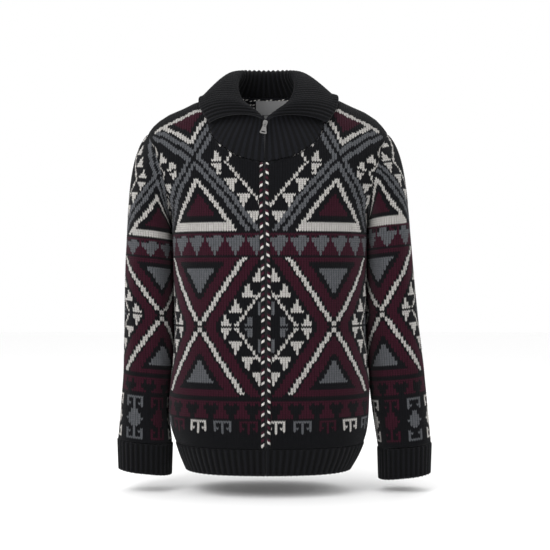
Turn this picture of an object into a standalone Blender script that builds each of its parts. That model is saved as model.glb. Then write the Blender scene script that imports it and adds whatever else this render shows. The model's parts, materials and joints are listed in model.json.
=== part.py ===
"""Zip cardigan in chunky knit, filled out as if worn, with open neck, hem and cuffs.

Metres, +Z up. The front faces -Y and the wearer's left is +X. The origin is the middle of the
line between the two neck points, where the shoulder seams meet the collar.
"""

import math

import bpy
import numpy as np

# Driving dimensions
WALL = 0.0035            # knitted panel
RIB_WALL = 0.0040        # ribbed welt, cuffs and collar
RIB_RISE = 0.0022        # how far a rib stands out of its wall
SEAM_GAP = 0.0003
ARMPIT_Z = -0.222
HEM_SEAM_Z = -0.641
HEM_Z = -0.691
ZIP_TOP_Z = -0.129       # where the zip passes from the fronts into the collar
NECK_HALF = 0.092        # neck point to the middle
SHOULDER_ROLL = 0.170    # height over which the chest rounds over into the shoulder
BODY_POWER = 2.5         # squareness of the body's rings
YOKE_HALF = 0.250        # half-width of the body's ring where collar and labels lie on it
CENTRE_BAND = 0.060      # the front's middle follows the zip's wandering line this far out
EDGE_WIDTH = 0.0086      # one marled chain edge beside the zip
EDGE_DEPTH = 0.0030      # half of a chain edge's thickness
CORE_GAP = 0.0008        # half of the gap where ribs meet at the zip
TAPE_WIDTH = 0.0140
TAPE_THICK = 0.0010
TAPE_ROOM = 0.0012       # between the fronts' inner face and the tape
COLLAR_TAPE_ROOM = 0.0045

# Mesh counts
LOW_ROWS = 9             # hem seam to armpit
HIGH_ROWS = 10           # armpit to shoulder, and half of an armhole
ZIP_ROWS = 4             # those of the high rows that still end at the zip
FRONT_COLUMNS = 8
BACK_COLUMNS = 9
SLEEVE_CAP_ROWS = 6
SLEEVE_ROWS = 9
FRONT_HEM_RIBS = 21
BACK_HEM_RIBS = 42
HEM_ROWS = 2
CUFF_RIBS = 34
CUFF_ROWS = 2
COLLAR_RIBS = 60
TAPE_COLUMNS = 7         # the collar's columns that the zip tape lies behind, at each end
SAMPLES = 201            # places along a row at which its length is measured

# Middle line of the closed zip, which wanders a little as the cloth hangs
CENTRE = {
    "z": (-0.691, -0.550, -0.350, -0.280, -0.200, -0.120, -0.060),
    "x": (-0.0010, 0.0000, 0.0000, -0.0020, -0.0035, -0.0030, -0.0015),
}

# Depth of the body in front of and behind the side seams
DEPTH = {
    "z": (-0.691, -0.641, -0.590, -0.460, -0.330, -0.200, -0.100, 0.020),
    "front": (0.112, 0.123, 0.130, 0.132, 0.131, 0.122, 0.107, 0.094),
    "back": (0.110, 0.121, 0.128, 0.122, 0.124, 0.128, 0.118, 0.096),
}

# Half-width of the body at the side seams; the welt draws it in
SIDE = {
    "z": (-0.691, -0.665, -0.641, -0.615, -0.580, -0.535, -0.490, -0.430, -0.330, -0.222),
    "right": (0.148, 0.159, 0.167, 0.176, 0.181, 0.178, 0.173, 0.170, 0.172, 0.175),
    "left": (0.155, 0.170, 0.180, 0.187, 0.190, 0.191, 0.187, 0.184, 0.185, 0.186),
}

# Armhole seam, once round from the shoulder point by the front, the armpit and the back
ARMHOLE = {
    "turn": (0, 30, 60, 90, 120, 150, 180, 210, 240, 270, 300, 330),
    "right": (0.221, 0.214, 0.203, 0.192, 0.182, 0.176, 0.175, 0.177, 0.184, 0.194, 0.205, 0.215),
    "left": (0.226, 0.220, 0.210, 0.200, 0.191, 0.187, 0.186, 0.188, 0.194, 0.203, 0.212, 0.221),
    "y": (0.0, -0.040, -0.068, -0.080, -0.078, -0.050, 0.0, 0.052, 0.081, 0.085, 0.070, 0.040),
    "z": (
        -0.071, -0.082, -0.105, -0.138, -0.172, -0.205,
        -0.222, -0.206, -0.172, -0.138, -0.104, -0.081,
    ),
}

# Crest of the shoulder; inside the neck point it is the arch that the neckline is cut from
RIDGE = {
    "x": (0.000, 0.030, 0.060, 0.080, 0.092, 0.112, 0.132, 0.154, 0.180, 0.199, 0.210, 0.221),
    "right": (
        0.091, 0.083, 0.055, 0.025, 0.000, -0.006, -0.012, -0.023, -0.034, -0.046, -0.056, -0.071,
    ),
    "left": (
        0.091, 0.083, 0.055, 0.025, 0.000, -0.002, -0.007, -0.018, -0.030, -0.043, -0.055, -0.071,
    ),
}

# Scooped front neckline, from the zip to the neck point
NECKLINE = {
    "step": (0.0, 0.2, 0.4, 0.6, 0.8, 1.0),
    "x": (0.0, 0.045, 0.081, 0.104, 0.107, 0.092),
    "z": (-0.129, -0.125, -0.104, -0.068, -0.031, 0.0),
}
BACK_NECK_Z = 0.011
BACK_NECK_SHARE = 0.42   # share of the back's top edge that is neckline

# The collar's roll line and outer edge, from the zip to the middle of the back
COLLAR = {
    "step": (0.00, 0.12, 0.24, 0.36, 0.48, 0.60, 0.72, 0.86, 1.00),
    "roll_x": (0.0010, 0.0200, 0.0390, 0.0500, 0.0560, 0.0575, 0.0540, 0.0340, 0.0),
    "roll_y": (-0.113, -0.109, -0.096, -0.078, -0.048, -0.005, 0.032, 0.065, 0.078),
    "roll_z": (-0.060, -0.043, -0.027, -0.011, 0.010, 0.034, 0.049, 0.057, 0.059),
    "edge_x": (0.1055, 0.1130, 0.1200, 0.1260, 0.1290, 0.1270, 0.1170, 0.0750, 0.0),
    "edge_y": (-0.090, -0.079, -0.065, -0.046, -0.022, 0.010, 0.046, 0.094, 0.118),
    "edge_z": (-0.060, -0.050, -0.037, -0.026, -0.015, -0.007, -0.002, 0.002, 0.004),
}
COLLAR_STAND_STEPS = (0.0, 0.40, 0.75, 0.93)
COLLAR_LEAF_STEPS = (0.0, 0.07, 0.25, 0.50, 0.75, 1.0)
COLLAR_ROLL = 0.014      # how far the roll line's tangent carries the cloth each way
COLLAR_SHIFT = 0.004     # the leaf lies this much further over the wearer's left shoulder
LEAF_CLEARANCE = 0.0052  # middle of the leaf above the shoulder and chest

# Sleeves: one ring for each height, from just under the armpit to the cuff seam
SLEEVE_RIGHT = {
    "z": (-0.250, -0.327, -0.417, -0.507, -0.575, -0.640),
    "inner": (0.177, 0.1738, 0.172, 0.176, 0.183, 0.177),
    "outer": (0.259, 0.263, 0.265, 0.266, 0.270, 0.275),
    "y": (0.006, 0.008, 0.010, 0.006, 0.000, -0.006),
    "depth": (0.074, 0.068, 0.062, 0.057, 0.053, 0.049),
}
SLEEVE_LEFT = {
    "z": (-0.250, -0.327, -0.417, -0.507, -0.575, -0.648),
    "inner": (0.188, 0.1868, 0.186, 0.191, 0.198, 0.209),
    "outer": (0.267, 0.274, 0.283, 0.293, 0.299, 0.305),
    "y": (0.006, 0.008, 0.010, 0.006, 0.000, -0.006),
    "depth": (0.074, 0.068, 0.062, 0.057, 0.053, 0.049),
}
SLEEVE_POWER = 2.3
CUFF_DEPTH = 0.057
CUFF_TILT = 0.010        # how much lower the cuff's inner side hangs than its outer side
CUFF_DRAW = 0.96         # the cuff's mouth against its seam

# Zip slider and pull tab
SLIDER_Z = -0.0640
SLIDER_HALF_WIDTH = 0.0040
SLIDER_HALF_HEIGHT = 0.0052
SLIDER_THICK = 0.0022
STRAP_HALF_WIDTH = 0.0010
STRAP_HALF_HEIGHT = 0.0036
STRAP_THICK = 0.0010
STRAP_ROOM = 0.0028      # between the slider's face and the strap
PULL_LENGTH = 0.0190
PULL_TOP_WIDTH = 0.0064
PULL_END_WIDTH = 0.0125
PULL_LEAN = 0.20         # radians that the slider and its pull lean to the wearer's right
PULL_THICK = 0.0012
PULL_BAR = 0.0013        # crossbar that turns under the strap
PULL_EYE = 0.0062
PULL_SLOT_NEAR = 0.0145
PULL_SLOT_FAR = 0.0168

# Blank labels inside the back neck
LABEL_X = 0.009
LABEL_THICK = 0.0007
LABEL_ROOM = 0.0013      # between the back's inner face and a label
NECK_LABEL = {"half_width": 0.030, "top": 0.004, "bottom": -0.022}
SIZE_LABEL = {"half_width": 0.015, "top": -0.0225, "bottom": -0.040}

SIDES = {"right": -1.0, "left": 1.0}

# Colour, roughness, metallic
MATERIALS = {
    "black_knit": ((0.0075, 0.0080, 0.0095, 1.0), 0.95, 0.0),
    "pattern_knit": ((0.060, 0.040, 0.048, 1.0), 0.95, 0.0),
    "marled_edge": ((0.200, 0.160, 0.170, 1.0), 0.95, 0.0),
    "zip_tape": ((0.0100, 0.0100, 0.0110, 1.0), 0.80, 0.0),
    "nickel": ((0.560, 0.550, 0.530, 1.0), 0.30, 1.0),
    "label_satin": ((0.270, 0.270, 0.275, 1.0), 0.60, 0.0),
}


def curve(table, column, at, key="z"):
    """Smooth curve through a table's rows: cubic pieces whose slopes never overshoot."""
    knots = np.asarray(table[key], float)
    values = np.asarray(table[column], float)
    at = np.clip(np.asarray(at, float), knots[0], knots[-1])
    step = np.diff(knots)
    slope = np.diff(values) / step
    tangent = np.zeros(len(knots))
    tangent[0] = slope[0]
    tangent[-1] = slope[-1]
    for i in range(1, len(knots) - 1):
        if slope[i - 1] * slope[i] > 0:
            weight_a = 2 * step[i] + step[i - 1]
            weight_b = step[i] + 2 * step[i - 1]
            tangent[i] = (weight_a + weight_b) / (weight_a / slope[i - 1] + weight_b / slope[i])
    i = np.clip(np.searchsorted(knots, at, side="right") - 1, 0, len(knots) - 2)
    s = (at - knots[i]) / step[i]
    from_start = (1 + 2 * s) * (1 - s) ** 2 * values[i] + s * (1 - s) ** 2 * step[i] * tangent[i]
    from_end = s * s * (3 - 2 * s) * values[i + 1] + s * s * (s - 1) * step[i] * tangent[i + 1]
    return from_start + from_end


def unit(vectors):
    length = np.linalg.norm(vectors, axis=-1, keepdims=True)
    return vectors / np.maximum(length, 1e-9)


def ease(s):
    s = np.clip(s, 0.0, 1.0)
    return s * s * (3 - 2 * s)


def centre_x(z):
    return curve(CENTRE, "x", z)


def ridge_z(x, side):
    reach = ARMHOLE[side][0] / RIDGE["x"][-1]
    beyond_neck = np.clip((np.abs(x) - NECK_HALF) / (RIDGE["x"][-1] - NECK_HALF), 0.0, 1.0)
    stretch = 1.0 + (reach - 1.0) * beyond_neck
    return np.interp(np.abs(x) / stretch, RIDGE["x"], RIDGE[side])


def dome(x, z, side):
    """1 on the chest, falling to 0 on the shoulder's crest."""
    height = np.clip((ridge_z(x, side) - z) / SHOULDER_ROLL, 0.0, 1.0)
    return np.sqrt(np.maximum(1.0 - (1.0 - height) ** 2, 0.0))


def wrap(x, half_width):
    """1 at the middle of a ring, falling to 0 at its side."""
    share = np.clip(np.abs(x) / half_width, 0.0, 1.0)
    return (1.0 - share ** BODY_POWER) ** (1.0 / BODY_POWER)


def armhole_point(side, turn):
    """Point of the armhole seam, by a closed smooth curve through the table."""
    count = len(ARMHOLE["turn"])
    place = (turn % 360.0) / (360.0 / count)
    i = int(math.floor(place)) % count
    s = place - math.floor(place)
    point = []
    for column in (side, "y", "z"):
        a, b, c, d = (ARMHOLE[column][(i + k) % count] for k in (-1, 0, 1, 2))
        bend = (2 * a - 5 * b + 4 * c - d) * s * s + (3 * b - a - 3 * c + d) * s ** 3
        point.append(0.5 * (2 * b + (c - a) * s + bend))
    return np.array([SIDES[side] * point[0], point[1], point[2]])


def armhole_out(side, turn):
    """Direction through the cloth at the armhole seam, shared by the panels and the sleeve."""
    middle = np.mean([armhole_point(side, t) for t in range(0, 360, 30)], axis=0)
    slant = 0.60 * (1.0 + math.cos(math.radians(turn))) / 2.0
    along = unit(np.array([SIDES[side] * (1.0 - 0.4 * slant), 0.0, -slant]))
    arm = armhole_point(side, turn) - middle
    return unit(arm - along * np.dot(arm, along))


def side_point(side, face, row):
    """End of a panel's row: on the side seam below the armpit, on the armhole above it."""
    if row <= 1.0:
        z = HEM_SEAM_Z + (ARMPIT_Z - HEM_SEAM_Z) * row
        return np.array([SIDES[side] * float(curve(SIDE, side, z)), 0.0, z])
    turn = 180.0 * (2.0 - row)
    if face == "back":
        turn = 360.0 - turn
    return armhole_point(side, turn)


def inner_point(side, face, row):
    """Start of a panel's row, as (x, z): at the zip or the neckline, or the middle of the back."""
    if face == "back":
        top = ARMPIT_Z + (BACK_NECK_Z - ARMPIT_Z) * (row - 1.0)
        return 0.0, top if row > 1.0 else HEM_SEAM_Z + (ARMPIT_Z - HEM_SEAM_Z) * row
    zip_share = ZIP_ROWS / HIGH_ROWS
    edge = EDGE_WIDTH + CORE_GAP
    if row <= 1.0:
        z = HEM_SEAM_Z + (ARMPIT_Z - HEM_SEAM_Z) * row
    elif row <= 1.0 + zip_share:
        z = ARMPIT_Z + (ZIP_TOP_Z - ARMPIT_Z) * (row - 1.0) / zip_share
    else:
        step = (row - 1.0 - zip_share) / (1.0 - zip_share)
        z = float(curve(NECKLINE, "z", step, key="step"))
        x = float(curve(NECKLINE, "x", step, key="step"))
        fade = float(ease(1.0 - x / CENTRE_BAND))
        return SIDES[side] * max(x, edge) + fade * float(centre_x(z)), z
    return SIDES[side] * edge + float(centre_x(z)), z


def panel_row(side, face, row, shares):
    """Points of the cloth's outer face along one row of half a panel, from its middle outwards."""
    sign = SIDES[side]
    end = side_point(side, face, row)
    start_x, start_z = inner_point(side, face, row)
    forward = -1.0 if face == "front" else 1.0
    high = max(row - 1.0, 0.0)
    x = start_x + (end[0] - start_x) * np.linspace(0.0, 1.0, SAMPLES)
    z = start_z + (end[2] - start_z) * (x - start_x) / (end[0] - start_x)
    crest = ridge_z(x, side)
    neck_start = NECK_HALF * sign
    straight = end[2] * (x - neck_start) / (end[0] - neck_start)
    if face == "back":
        inside = np.abs(x) < NECK_HALF
        arc = BACK_NECK_Z * np.sqrt(np.maximum(1.0 - (x / NECK_HALF) ** 2, 0.0))
        top = np.where(inside, arc, crest)
        level = BACK_NECK_Z + (end[2] - BACK_NECK_Z) * (x / end[0])
        z = z + (high ** 2) * (top - level)
    else:
        z = z + (high ** 3) * (crest - straight)
    depth = curve(DEPTH, face, z) * dome(x, z, side)
    share = 0.0
    if high > 0.0:
        end_depth = float(curve(DEPTH, face, end[2]) * dome(end[0], end[2], side))
        if end_depth > 1e-6:
            share = min(abs(end[1]) / end_depth, 0.97)
    half_width = abs(end[0]) / (1.0 - share ** BODY_POWER) ** (1.0 / BODY_POWER)
    y = forward * depth * wrap(x, half_width)
    points = np.stack([x, y, z], axis=1)
    points[-1] = end
    run = np.concatenate([[0.0], np.cumsum(np.linalg.norm(np.diff(points, axis=0), axis=1))])
    run = run / run[-1]
    even = np.asarray(shares, float)
    if face == "back":
        neck_run = np.interp(NECK_HALF, np.abs(x), run)
        split = np.where(
            even < BACK_NECK_SHARE,
            even / BACK_NECK_SHARE * neck_run,
            neck_run + (even - BACK_NECK_SHARE) / (1.0 - BACK_NECK_SHARE) * (1.0 - neck_run),
        )
        even = even + (split - even) * high ** 2
    return np.stack([np.interp(even, run, points[:, k]) for k in range(3)], axis=1)


def panel_rows():
    low = [i / LOW_ROWS for i in range(LOW_ROWS)]
    high = [1.0 + i / HIGH_ROWS for i in range(HIGH_ROWS + 1)]
    return low + high


def grid_normals(grid, closed=False):
    """Unit normals of a grid of points, by the cross product of its two directions."""
    along = np.gradient(grid, axis=0)
    if closed:
        across = (np.roll(grid, -1, axis=1) - np.roll(grid, 1, axis=1)) / 2.0
    else:
        across = np.gradient(grid, axis=1)
    return unit(np.cross(across, along))


def mesh_object(name, vertices, faces, material, smooth=True):
    mesh = bpy.data.meshes.new(name)
    mesh.from_pydata([tuple(float(c) for c in v) for v in vertices], [], faces)
    mesh.materials.append(material)
    mesh.validate()
    if smooth:
        mesh.shade_smooth()
        mesh.set_sharp_from_angle(angle=math.radians(50.0))
    thing = bpy.data.objects.new(name, mesh)
    bpy.context.scene.collection.objects.link(thing)
    return thing


def wall_object(name, outer, inner, material, closed=False):
    """Closed wall between two grids of points; a closed one joins its last column to its first."""
    rows, columns = outer.shape[:2]
    vertices = np.concatenate([outer.reshape(-1, 3), inner.reshape(-1, 3)])
    shift = rows * columns
    faces = []
    span = columns if closed else columns - 1
    for i in range(rows - 1):
        for j in range(span):
            a = i * columns + j
            b = i * columns + (j + 1) % columns
            c = b + columns
            d = a + columns
            faces.append((a, b, c, d))
            faces.append((a + shift, d + shift, c + shift, b + shift))
    for j in range(span):
        a = j
        b = (j + 1) % columns
        faces.append((b, a, a + shift, b + shift))
        a = (rows - 1) * columns + j
        b = (rows - 1) * columns + (j + 1) % columns
        faces.append((a, b, b + shift, a + shift))
    if not closed:
        for i in range(rows - 1):
            a = i * columns
            d = a + columns
            faces.append((a, d, d + shift, a + shift))
            b = a + columns - 1
            c = b + columns
            faces.append((c, b, b + shift, c + shift))
    return mesh_object(name, vertices, faces, material)


def face_outwards(outer, normals, forward):
    """Makes a panel's normals point away from the wearer."""
    middle = normals[normals.shape[0] // 3, normals.shape[1] // 2]
    return normals if np.dot(middle, forward) > 0 else -normals


def build_wall(name, outer, normals, thickness, material, closed=False):
    """Wall whose inner face lies a thickness behind the outer points."""
    inner = outer - normals * thickness
    turn = grid_normals(outer, closed)
    middle = (outer.shape[0] // 2, outer.shape[1] // 2)
    if np.dot(turn[middle], normals[middle]) < 0:
        outer = outer[:, ::-1]
        inner = inner[:, ::-1]
    return wall_object(name, outer, inner, material, closed)


def ridge_out(x, side):
    """Direction through the cloth along the shoulder seam."""
    step = 0.004
    ahead = float(ridge_z(abs(x) + step, side))
    behind = float(ridge_z(max(abs(x) - step, NECK_HALF), side))
    run = abs(x) + step - max(abs(x) - step, NECK_HALF)
    return unit(np.array([-(ahead - behind) / run * SIDES[side], 0.0, 1.0]))


def neck_out(point):
    """Direction through the cloth at the neck seam, between the panel's and the collar's."""
    around = unit(np.array([point[0], point[1] + 0.010, 0.0]))
    rise = 0.15 + 0.85 * float(ease((point[1] + 0.105) / 0.080))
    rise = rise - 0.55 * float(ease(point[1] / 0.070))
    return unit(around + np.array([0.0, 0.0, rise]))


def make_front(side, material):
    rows = panel_rows()
    shares = np.linspace(0.0, 1.0, FRONT_COLUMNS + 1)
    grid = np.array([panel_row(side, "front", row, shares) for row in rows])
    normals = face_outwards(grid, grid_normals(grid), np.array([0.0, -1.0, 0.0]))
    for i, row in enumerate(rows):
        if row <= 1.0:
            normals[i, -1] = (SIDES[side], 0.0, 0.0)
        if row >= 1.0:
            normals[i, -1] = armhole_out(side, 180.0 * (2.0 - row))
        if row >= 1.0 + ZIP_ROWS / HIGH_ROWS:
            normals[i, 0] = neck_out(grid[i, 0])
    for j in range(1, FRONT_COLUMNS):
        normals[-1, j] = ridge_out(grid[-1, j, 0], side)
    normals[0, :, 2] = 0.0
    normals = unit(normals)
    grid[:, :, 1] -= SEAM_GAP / 2.0
    build_wall("front_" + side, grid, normals, WALL, material)
    return grid, normals


def make_back(material):
    rows = panel_rows()
    shares = np.concatenate([
        np.linspace(0.0, BACK_NECK_SHARE, 5)[:-1],
        np.linspace(BACK_NECK_SHARE, 1.0, BACK_COLUMNS - 3),
    ])
    right = np.array([panel_row("right", "back", row, shares) for row in rows])
    left = np.array([panel_row("left", "back", row, shares) for row in rows])
    grid = np.concatenate([right[:, ::-1], left[:, 1:]], axis=1)
    normals = face_outwards(grid, grid_normals(grid), np.array([0.0, 1.0, 0.0]))
    for i, row in enumerate(rows):
        for column, side in ((0, "right"), (-1, "left")):
            if row <= 1.0:
                normals[i, column] = (SIDES[side], 0.0, 0.0)
            if row >= 1.0:
                normals[i, column] = armhole_out(side, 360.0 - 180.0 * (2.0 - row))
    for j in range(1, grid.shape[1] - 1):
        x = grid[-1, j, 0]
        side = "right" if x < 0 else "left"
        if abs(x) > NECK_HALF + 1e-4:
            normals[-1, j] = ridge_out(x, side)
        else:
            normals[-1, j] = neck_out(grid[-1, j])
    normals[0, :, 2] = 0.0
    normals = unit(normals)
    grid[:, :, 1] += SEAM_GAP / 2.0
    build_wall("back", grid, normals, WALL, material)
    return grid, normals


def ring_points(side, face, z, shares, start):
    """Quarter ring of the body at one height, from the middle of the front or back to the side."""
    half_width = float(curve(SIDE, side, z))
    depth = float(curve(DEPTH, face, z))
    x = np.linspace(start, half_width, SAMPLES)
    y = depth * wrap(x, half_width)
    run = np.concatenate([[0.0], np.cumsum(np.hypot(np.diff(x), np.diff(y)))])
    run = run / run[-1]
    forward = -1.0 if face == "front" else 1.0
    return np.stack([
        SIDES[side] * np.interp(shares, run, x),
        forward * np.interp(shares, run, y),
        np.full(len(shares), z),
    ], axis=1)


def rib_rise(count, trim_ends=True):
    """Height of the ribs at two points a rib: crest and trough in turn."""
    rise = np.where(np.arange(count) % 2 == 1, RIB_RISE, 0.0)
    if trim_ends:
        rise[0] = 0.0
        rise[-1] = 0.0
    return rise


def make_hem(material):
    heights = np.linspace(HEM_SEAM_Z - SEAM_GAP, HEM_Z, HEM_ROWS + 1)
    for side in SIDES:
        shares = np.linspace(0.0, 1.0, 2 * FRONT_HEM_RIBS + 1)
        grid = []
        for z in heights:
            row = ring_points(side, "front", z, shares, CORE_GAP)
            fade = ease(1.0 - np.abs(row[:, 0]) / CENTRE_BAND)
            row[:, 0] += fade * centre_x(z)
            row[:, 1] -= SEAM_GAP / 2.0
            grid.append(row)
        grid = np.array(grid)
        normals = face_outwards(grid, grid_normals(grid), np.array([0.0, -1.0, 0.0]))
        finish_hem("hem_front_" + side, grid, normals, material)
    shares = np.linspace(0.0, 1.0, BACK_HEM_RIBS + 1)
    grid = []
    for z in heights:
        right = ring_points("right", "back", z, shares, 0.0)
        left = ring_points("left", "back", z, shares, 0.0)
        grid.append(np.concatenate([right[::-1], left[1:]]) + (0.0, SEAM_GAP / 2.0, 0.0))
    grid = np.array(grid)
    normals = face_outwards(grid, grid_normals(grid), np.array([0.0, 1.0, 0.0]))
    finish_hem("hem_back", grid, normals, material)


def finish_hem(name, grid, normals, material):
    normals[:, :, 2] = 0.0
    normals[:, 0, 1] = 0.0 if abs(grid[0, 0, 0]) > 0.05 else normals[:, 0, 1]
    normals[:, -1, 1] = 0.0
    normals = unit(normals)
    rise = rib_rise(grid.shape[1])
    inner = grid - normals * RIB_WALL
    outer = grid + normals * rise[None, :, None]
    turn = grid_normals(outer)
    if np.dot(turn[1, outer.shape[1] // 2], normals[1, outer.shape[1] // 2]) < 0:
        outer = outer[:, ::-1]
        inner = inner[:, ::-1]
    wall_object(name, outer, inner, material)


def sleeve_table(side):
    return SLEEVE_RIGHT if side == "right" else SLEEVE_LEFT


def sleeve_ring(side, z, turns, draw=1.0, tilt=0.0):
    """Ring of a sleeve at one height; turn 0 is its outer side and 90 its front."""
    table = sleeve_table(side)
    at = max(z, table["z"][-1])
    flipped = {key: values[::-1] for key, values in table.items()}
    inner = float(curve(flipped, "inner", at))
    outer = float(curve(flipped, "outer", at))
    depth = float(curve(flipped, "depth", at)) * draw
    y = float(curve(flipped, "y", at))
    half = (outer - inner) / 2.0 * draw
    middle = (outer + inner) / 2.0
    angle = np.radians(turns)
    cos = np.cos(angle)
    sin = np.sin(angle)
    power = 2.0 / SLEEVE_POWER
    x = middle + half * np.sign(cos) * np.abs(cos) ** power
    return np.stack([
        SIDES[side] * x,
        y - depth * np.sign(sin) * np.abs(sin) ** power,
        z + tilt * cos,
    ], axis=1)


def sleeve_turns():
    return np.array([180.0 * k / HIGH_ROWS for k in range(2 * HIGH_ROWS)])


def make_sleeve(side, material):
    turns = sleeve_turns()
    table = sleeve_table(side)
    seam = np.array([armhole_point(side, turn) for turn in turns])
    seam_out = np.array([armhole_out(side, turn) for turn in turns])
    away = unit(np.array([SIDES[side] * 0.80, 0.0, -0.60]))
    seam = seam + away * SEAM_GAP
    first = sleeve_ring(side, table["z"][0], turns)
    second = sleeve_ring(side, table["z"][0] - 0.010, turns)
    span = np.linalg.norm(first - seam, axis=1, keepdims=True)
    leave = unit(np.array([SIDES[side] * 0.72, 0.0, -0.69])) * span * 0.75
    arrive = unit(second - first) * span * 0.95
    grid = []
    for k in range(SLEEVE_CAP_ROWS):
        s = k / SLEEVE_CAP_ROWS
        point = (1 + 2 * s) * (1 - s) ** 2 * seam + s * (1 - s) ** 2 * leave
        grid.append(point + s * s * (3 - 2 * s) * first + s * s * (s - 1) * arrive)
    bottom = table["z"][-1]
    for z in np.linspace(table["z"][0], bottom, SLEEVE_ROWS + 1):
        low = (table["z"][0] - z) / (table["z"][0] - bottom)
        grid.append(sleeve_ring(side, z, turns, tilt=CUFF_TILT * 0.5 * low))
    grid = np.array(grid)
    normals = grid_normals(grid, closed=True)
    middle = grid.mean(axis=1, keepdims=True)
    if np.mean(np.sum(normals * (grid - middle), axis=2)) < 0:
        normals = -normals
    normals[0] = seam_out
    normals[-1, :, 2] = 0.0
    normals = unit(normals)
    build_wall("sleeve_" + side, grid, normals, WALL, material, closed=True)


def make_cuff(side, material):
    table = sleeve_table(side)
    turns = np.linspace(0.0, 360.0, 2 * CUFF_RIBS, endpoint=False)
    top = table["z"][-1] - SEAM_GAP
    grid = []
    for k in range(CUFF_ROWS + 1):
        s = k / CUFF_ROWS
        draw = 1.0 + (CUFF_DRAW - 1.0) * s
        tilt = CUFF_TILT * 0.5 * (1.0 + 0.2 * s)
        grid.append(sleeve_ring(side, top - CUFF_DEPTH * s, turns, draw=draw, tilt=tilt))
    grid = np.array(grid)
    normals = grid_normals(grid, closed=True)
    middle = grid.mean(axis=1, keepdims=True)
    if np.mean(np.sum(normals * (grid - middle), axis=2)) < 0:
        normals = -normals
    normals[:, :, 2] = 0.0
    normals = unit(normals)
    rise = rib_rise(len(turns), trim_ends=False)
    inner = grid - normals * RIB_WALL
    outer = grid + normals * rise[None, :, None]
    turn = grid_normals(outer, closed=True)
    if np.dot(turn[1, 3], normals[1, 3]) < 0:
        outer = outer[:, ::-1]
        inner = inner[:, ::-1]
    wall_object("cuff_" + side, outer, inner, material, closed=True)


def neck_seam(side, front_grid, front_normals, back_grid, back_normals):
    """The neck seam of one half as the panels have it, with its share of the way round.

    A rib line of the collar falls on the neck point, where the seam turns a corner.
    """
    first = LOW_ROWS + ZIP_ROWS
    start = front_grid[first, 0].copy()
    start[0] = SIDES[side] * CORE_GAP + float(centre_x(start[2]))
    points = [start]
    outs = [front_normals[first, 0]]
    for i in range(first, len(front_grid)):
        points.append(front_grid[i, 0])
        outs.append(front_normals[i, 0])
    corner = len(points) - 1
    top = back_grid[-1]
    columns = [j for j in range(len(top)) if abs(top[j, 0]) <= NECK_HALF + 1e-4]
    columns = [j for j in columns if top[j, 0] * SIDES[side] >= -1e-6]
    columns.sort(key=lambda j: -abs(top[j, 0]))
    for j in columns:
        points.append(top[j])
        outs.append(back_normals[-1, j])
    points = np.array(points)
    outs = np.array(outs)
    run = np.concatenate([[0.0], np.cumsum(np.linalg.norm(np.diff(points, axis=0), axis=1))])
    run = run / run[-1]
    at_neck = round(run[corner] * COLLAR_RIBS) / COLLAR_RIBS
    run = np.interp(run, (0.0, run[corner], 1.0), (0.0, at_neck, 1.0))
    return points, outs, run


def body_push(points, side, clearance):
    """Moves points out until they clear the shoulder's and chest's outer face."""
    moved = points.copy()
    for _ in range(4):
        x, y, z = moved[..., 0], moved[..., 1], moved[..., 2]
        forward = np.where(y < 0, curve(DEPTH, "front", z), curve(DEPTH, "back", z))
        reach = forward * wrap(x, YOKE_HALF)
        up = 1.0 - np.clip((ridge_z(x, side) - z) / SHOULDER_ROLL, -1.0, 1.0)
        level = (y / reach) ** 2 + up ** 2 - 1.0
        slope_y = 2.0 * y / reach ** 2
        slope_z = 2.0 * up / SHOULDER_ROLL
        steep = np.sqrt(slope_y ** 2 + slope_z ** 2)
        lack = np.maximum(clearance - level / steep, 0.0)
        lack = lack * ease((np.abs(x) - NECK_HALF + 0.004) / 0.012)
        moved[..., 1] += lack * slope_y / steep
        moved[..., 2] += lack * slope_z / steep
    return moved


def bezier(a, b, c, d, s):
    return (1 - s) ** 3 * a + 3 * s * (1 - s) ** 2 * b + 3 * s * s * (1 - s) * c + s ** 3 * d


def collar_section(side, step, seam, seam_out):
    """One rib line of the collar: up the stand, over the roll and down the leaf."""
    sign = SIDES[side]
    roll, edge = (
        np.array([float(curve(COLLAR, line + axis, step, key="step")) for axis in ("x", "y", "z")])
        for line in ("roll_", "edge_")
    )
    roll[0] *= sign
    edge[0] = edge[0] * sign + COLLAR_SHIFT
    at_zip = float(ease(1.0 - step / 0.15))
    at_front = float(ease(1.0 - step / 0.45))
    roll[0] += at_zip * float(centre_x(roll[2]))
    out = edge - roll
    out[2] = 0.0
    out = unit(out + np.array([0.0, -0.12, 0.0]) * at_front)
    forward = np.array([0.0, -1.0, 0.0])
    stand_out = unit(out * (1.0 - at_zip) + forward * at_zip)
    rise = roll - seam
    stand_start = seam + rise * 0.33 + seam_out * 0.002 * (1.0 - at_zip)
    stand_end = roll - stand_out * COLLAR_ROLL * (1.0 - 0.6 * at_zip) - np.array([0.0, 0.0, 0.008])
    leaf_start = roll + unit(out + forward * 0.6 * at_zip) * COLLAR_ROLL * 1.7
    leaf_start[2] += 0.005 + 0.008 * at_front
    drop = unit(edge - roll + np.array([0.0, 0.0, -0.030]))
    leaf_end = edge - drop * 0.030
    leaf_end[2] += 0.010 * at_front
    stand = [bezier(seam, stand_start, stand_end, roll, s) for s in COLLAR_STAND_STEPS]
    leaf = [bezier(roll, leaf_start, leaf_end, edge, s) for s in COLLAR_LEAF_STEPS]
    return np.array(stand + leaf)


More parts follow.
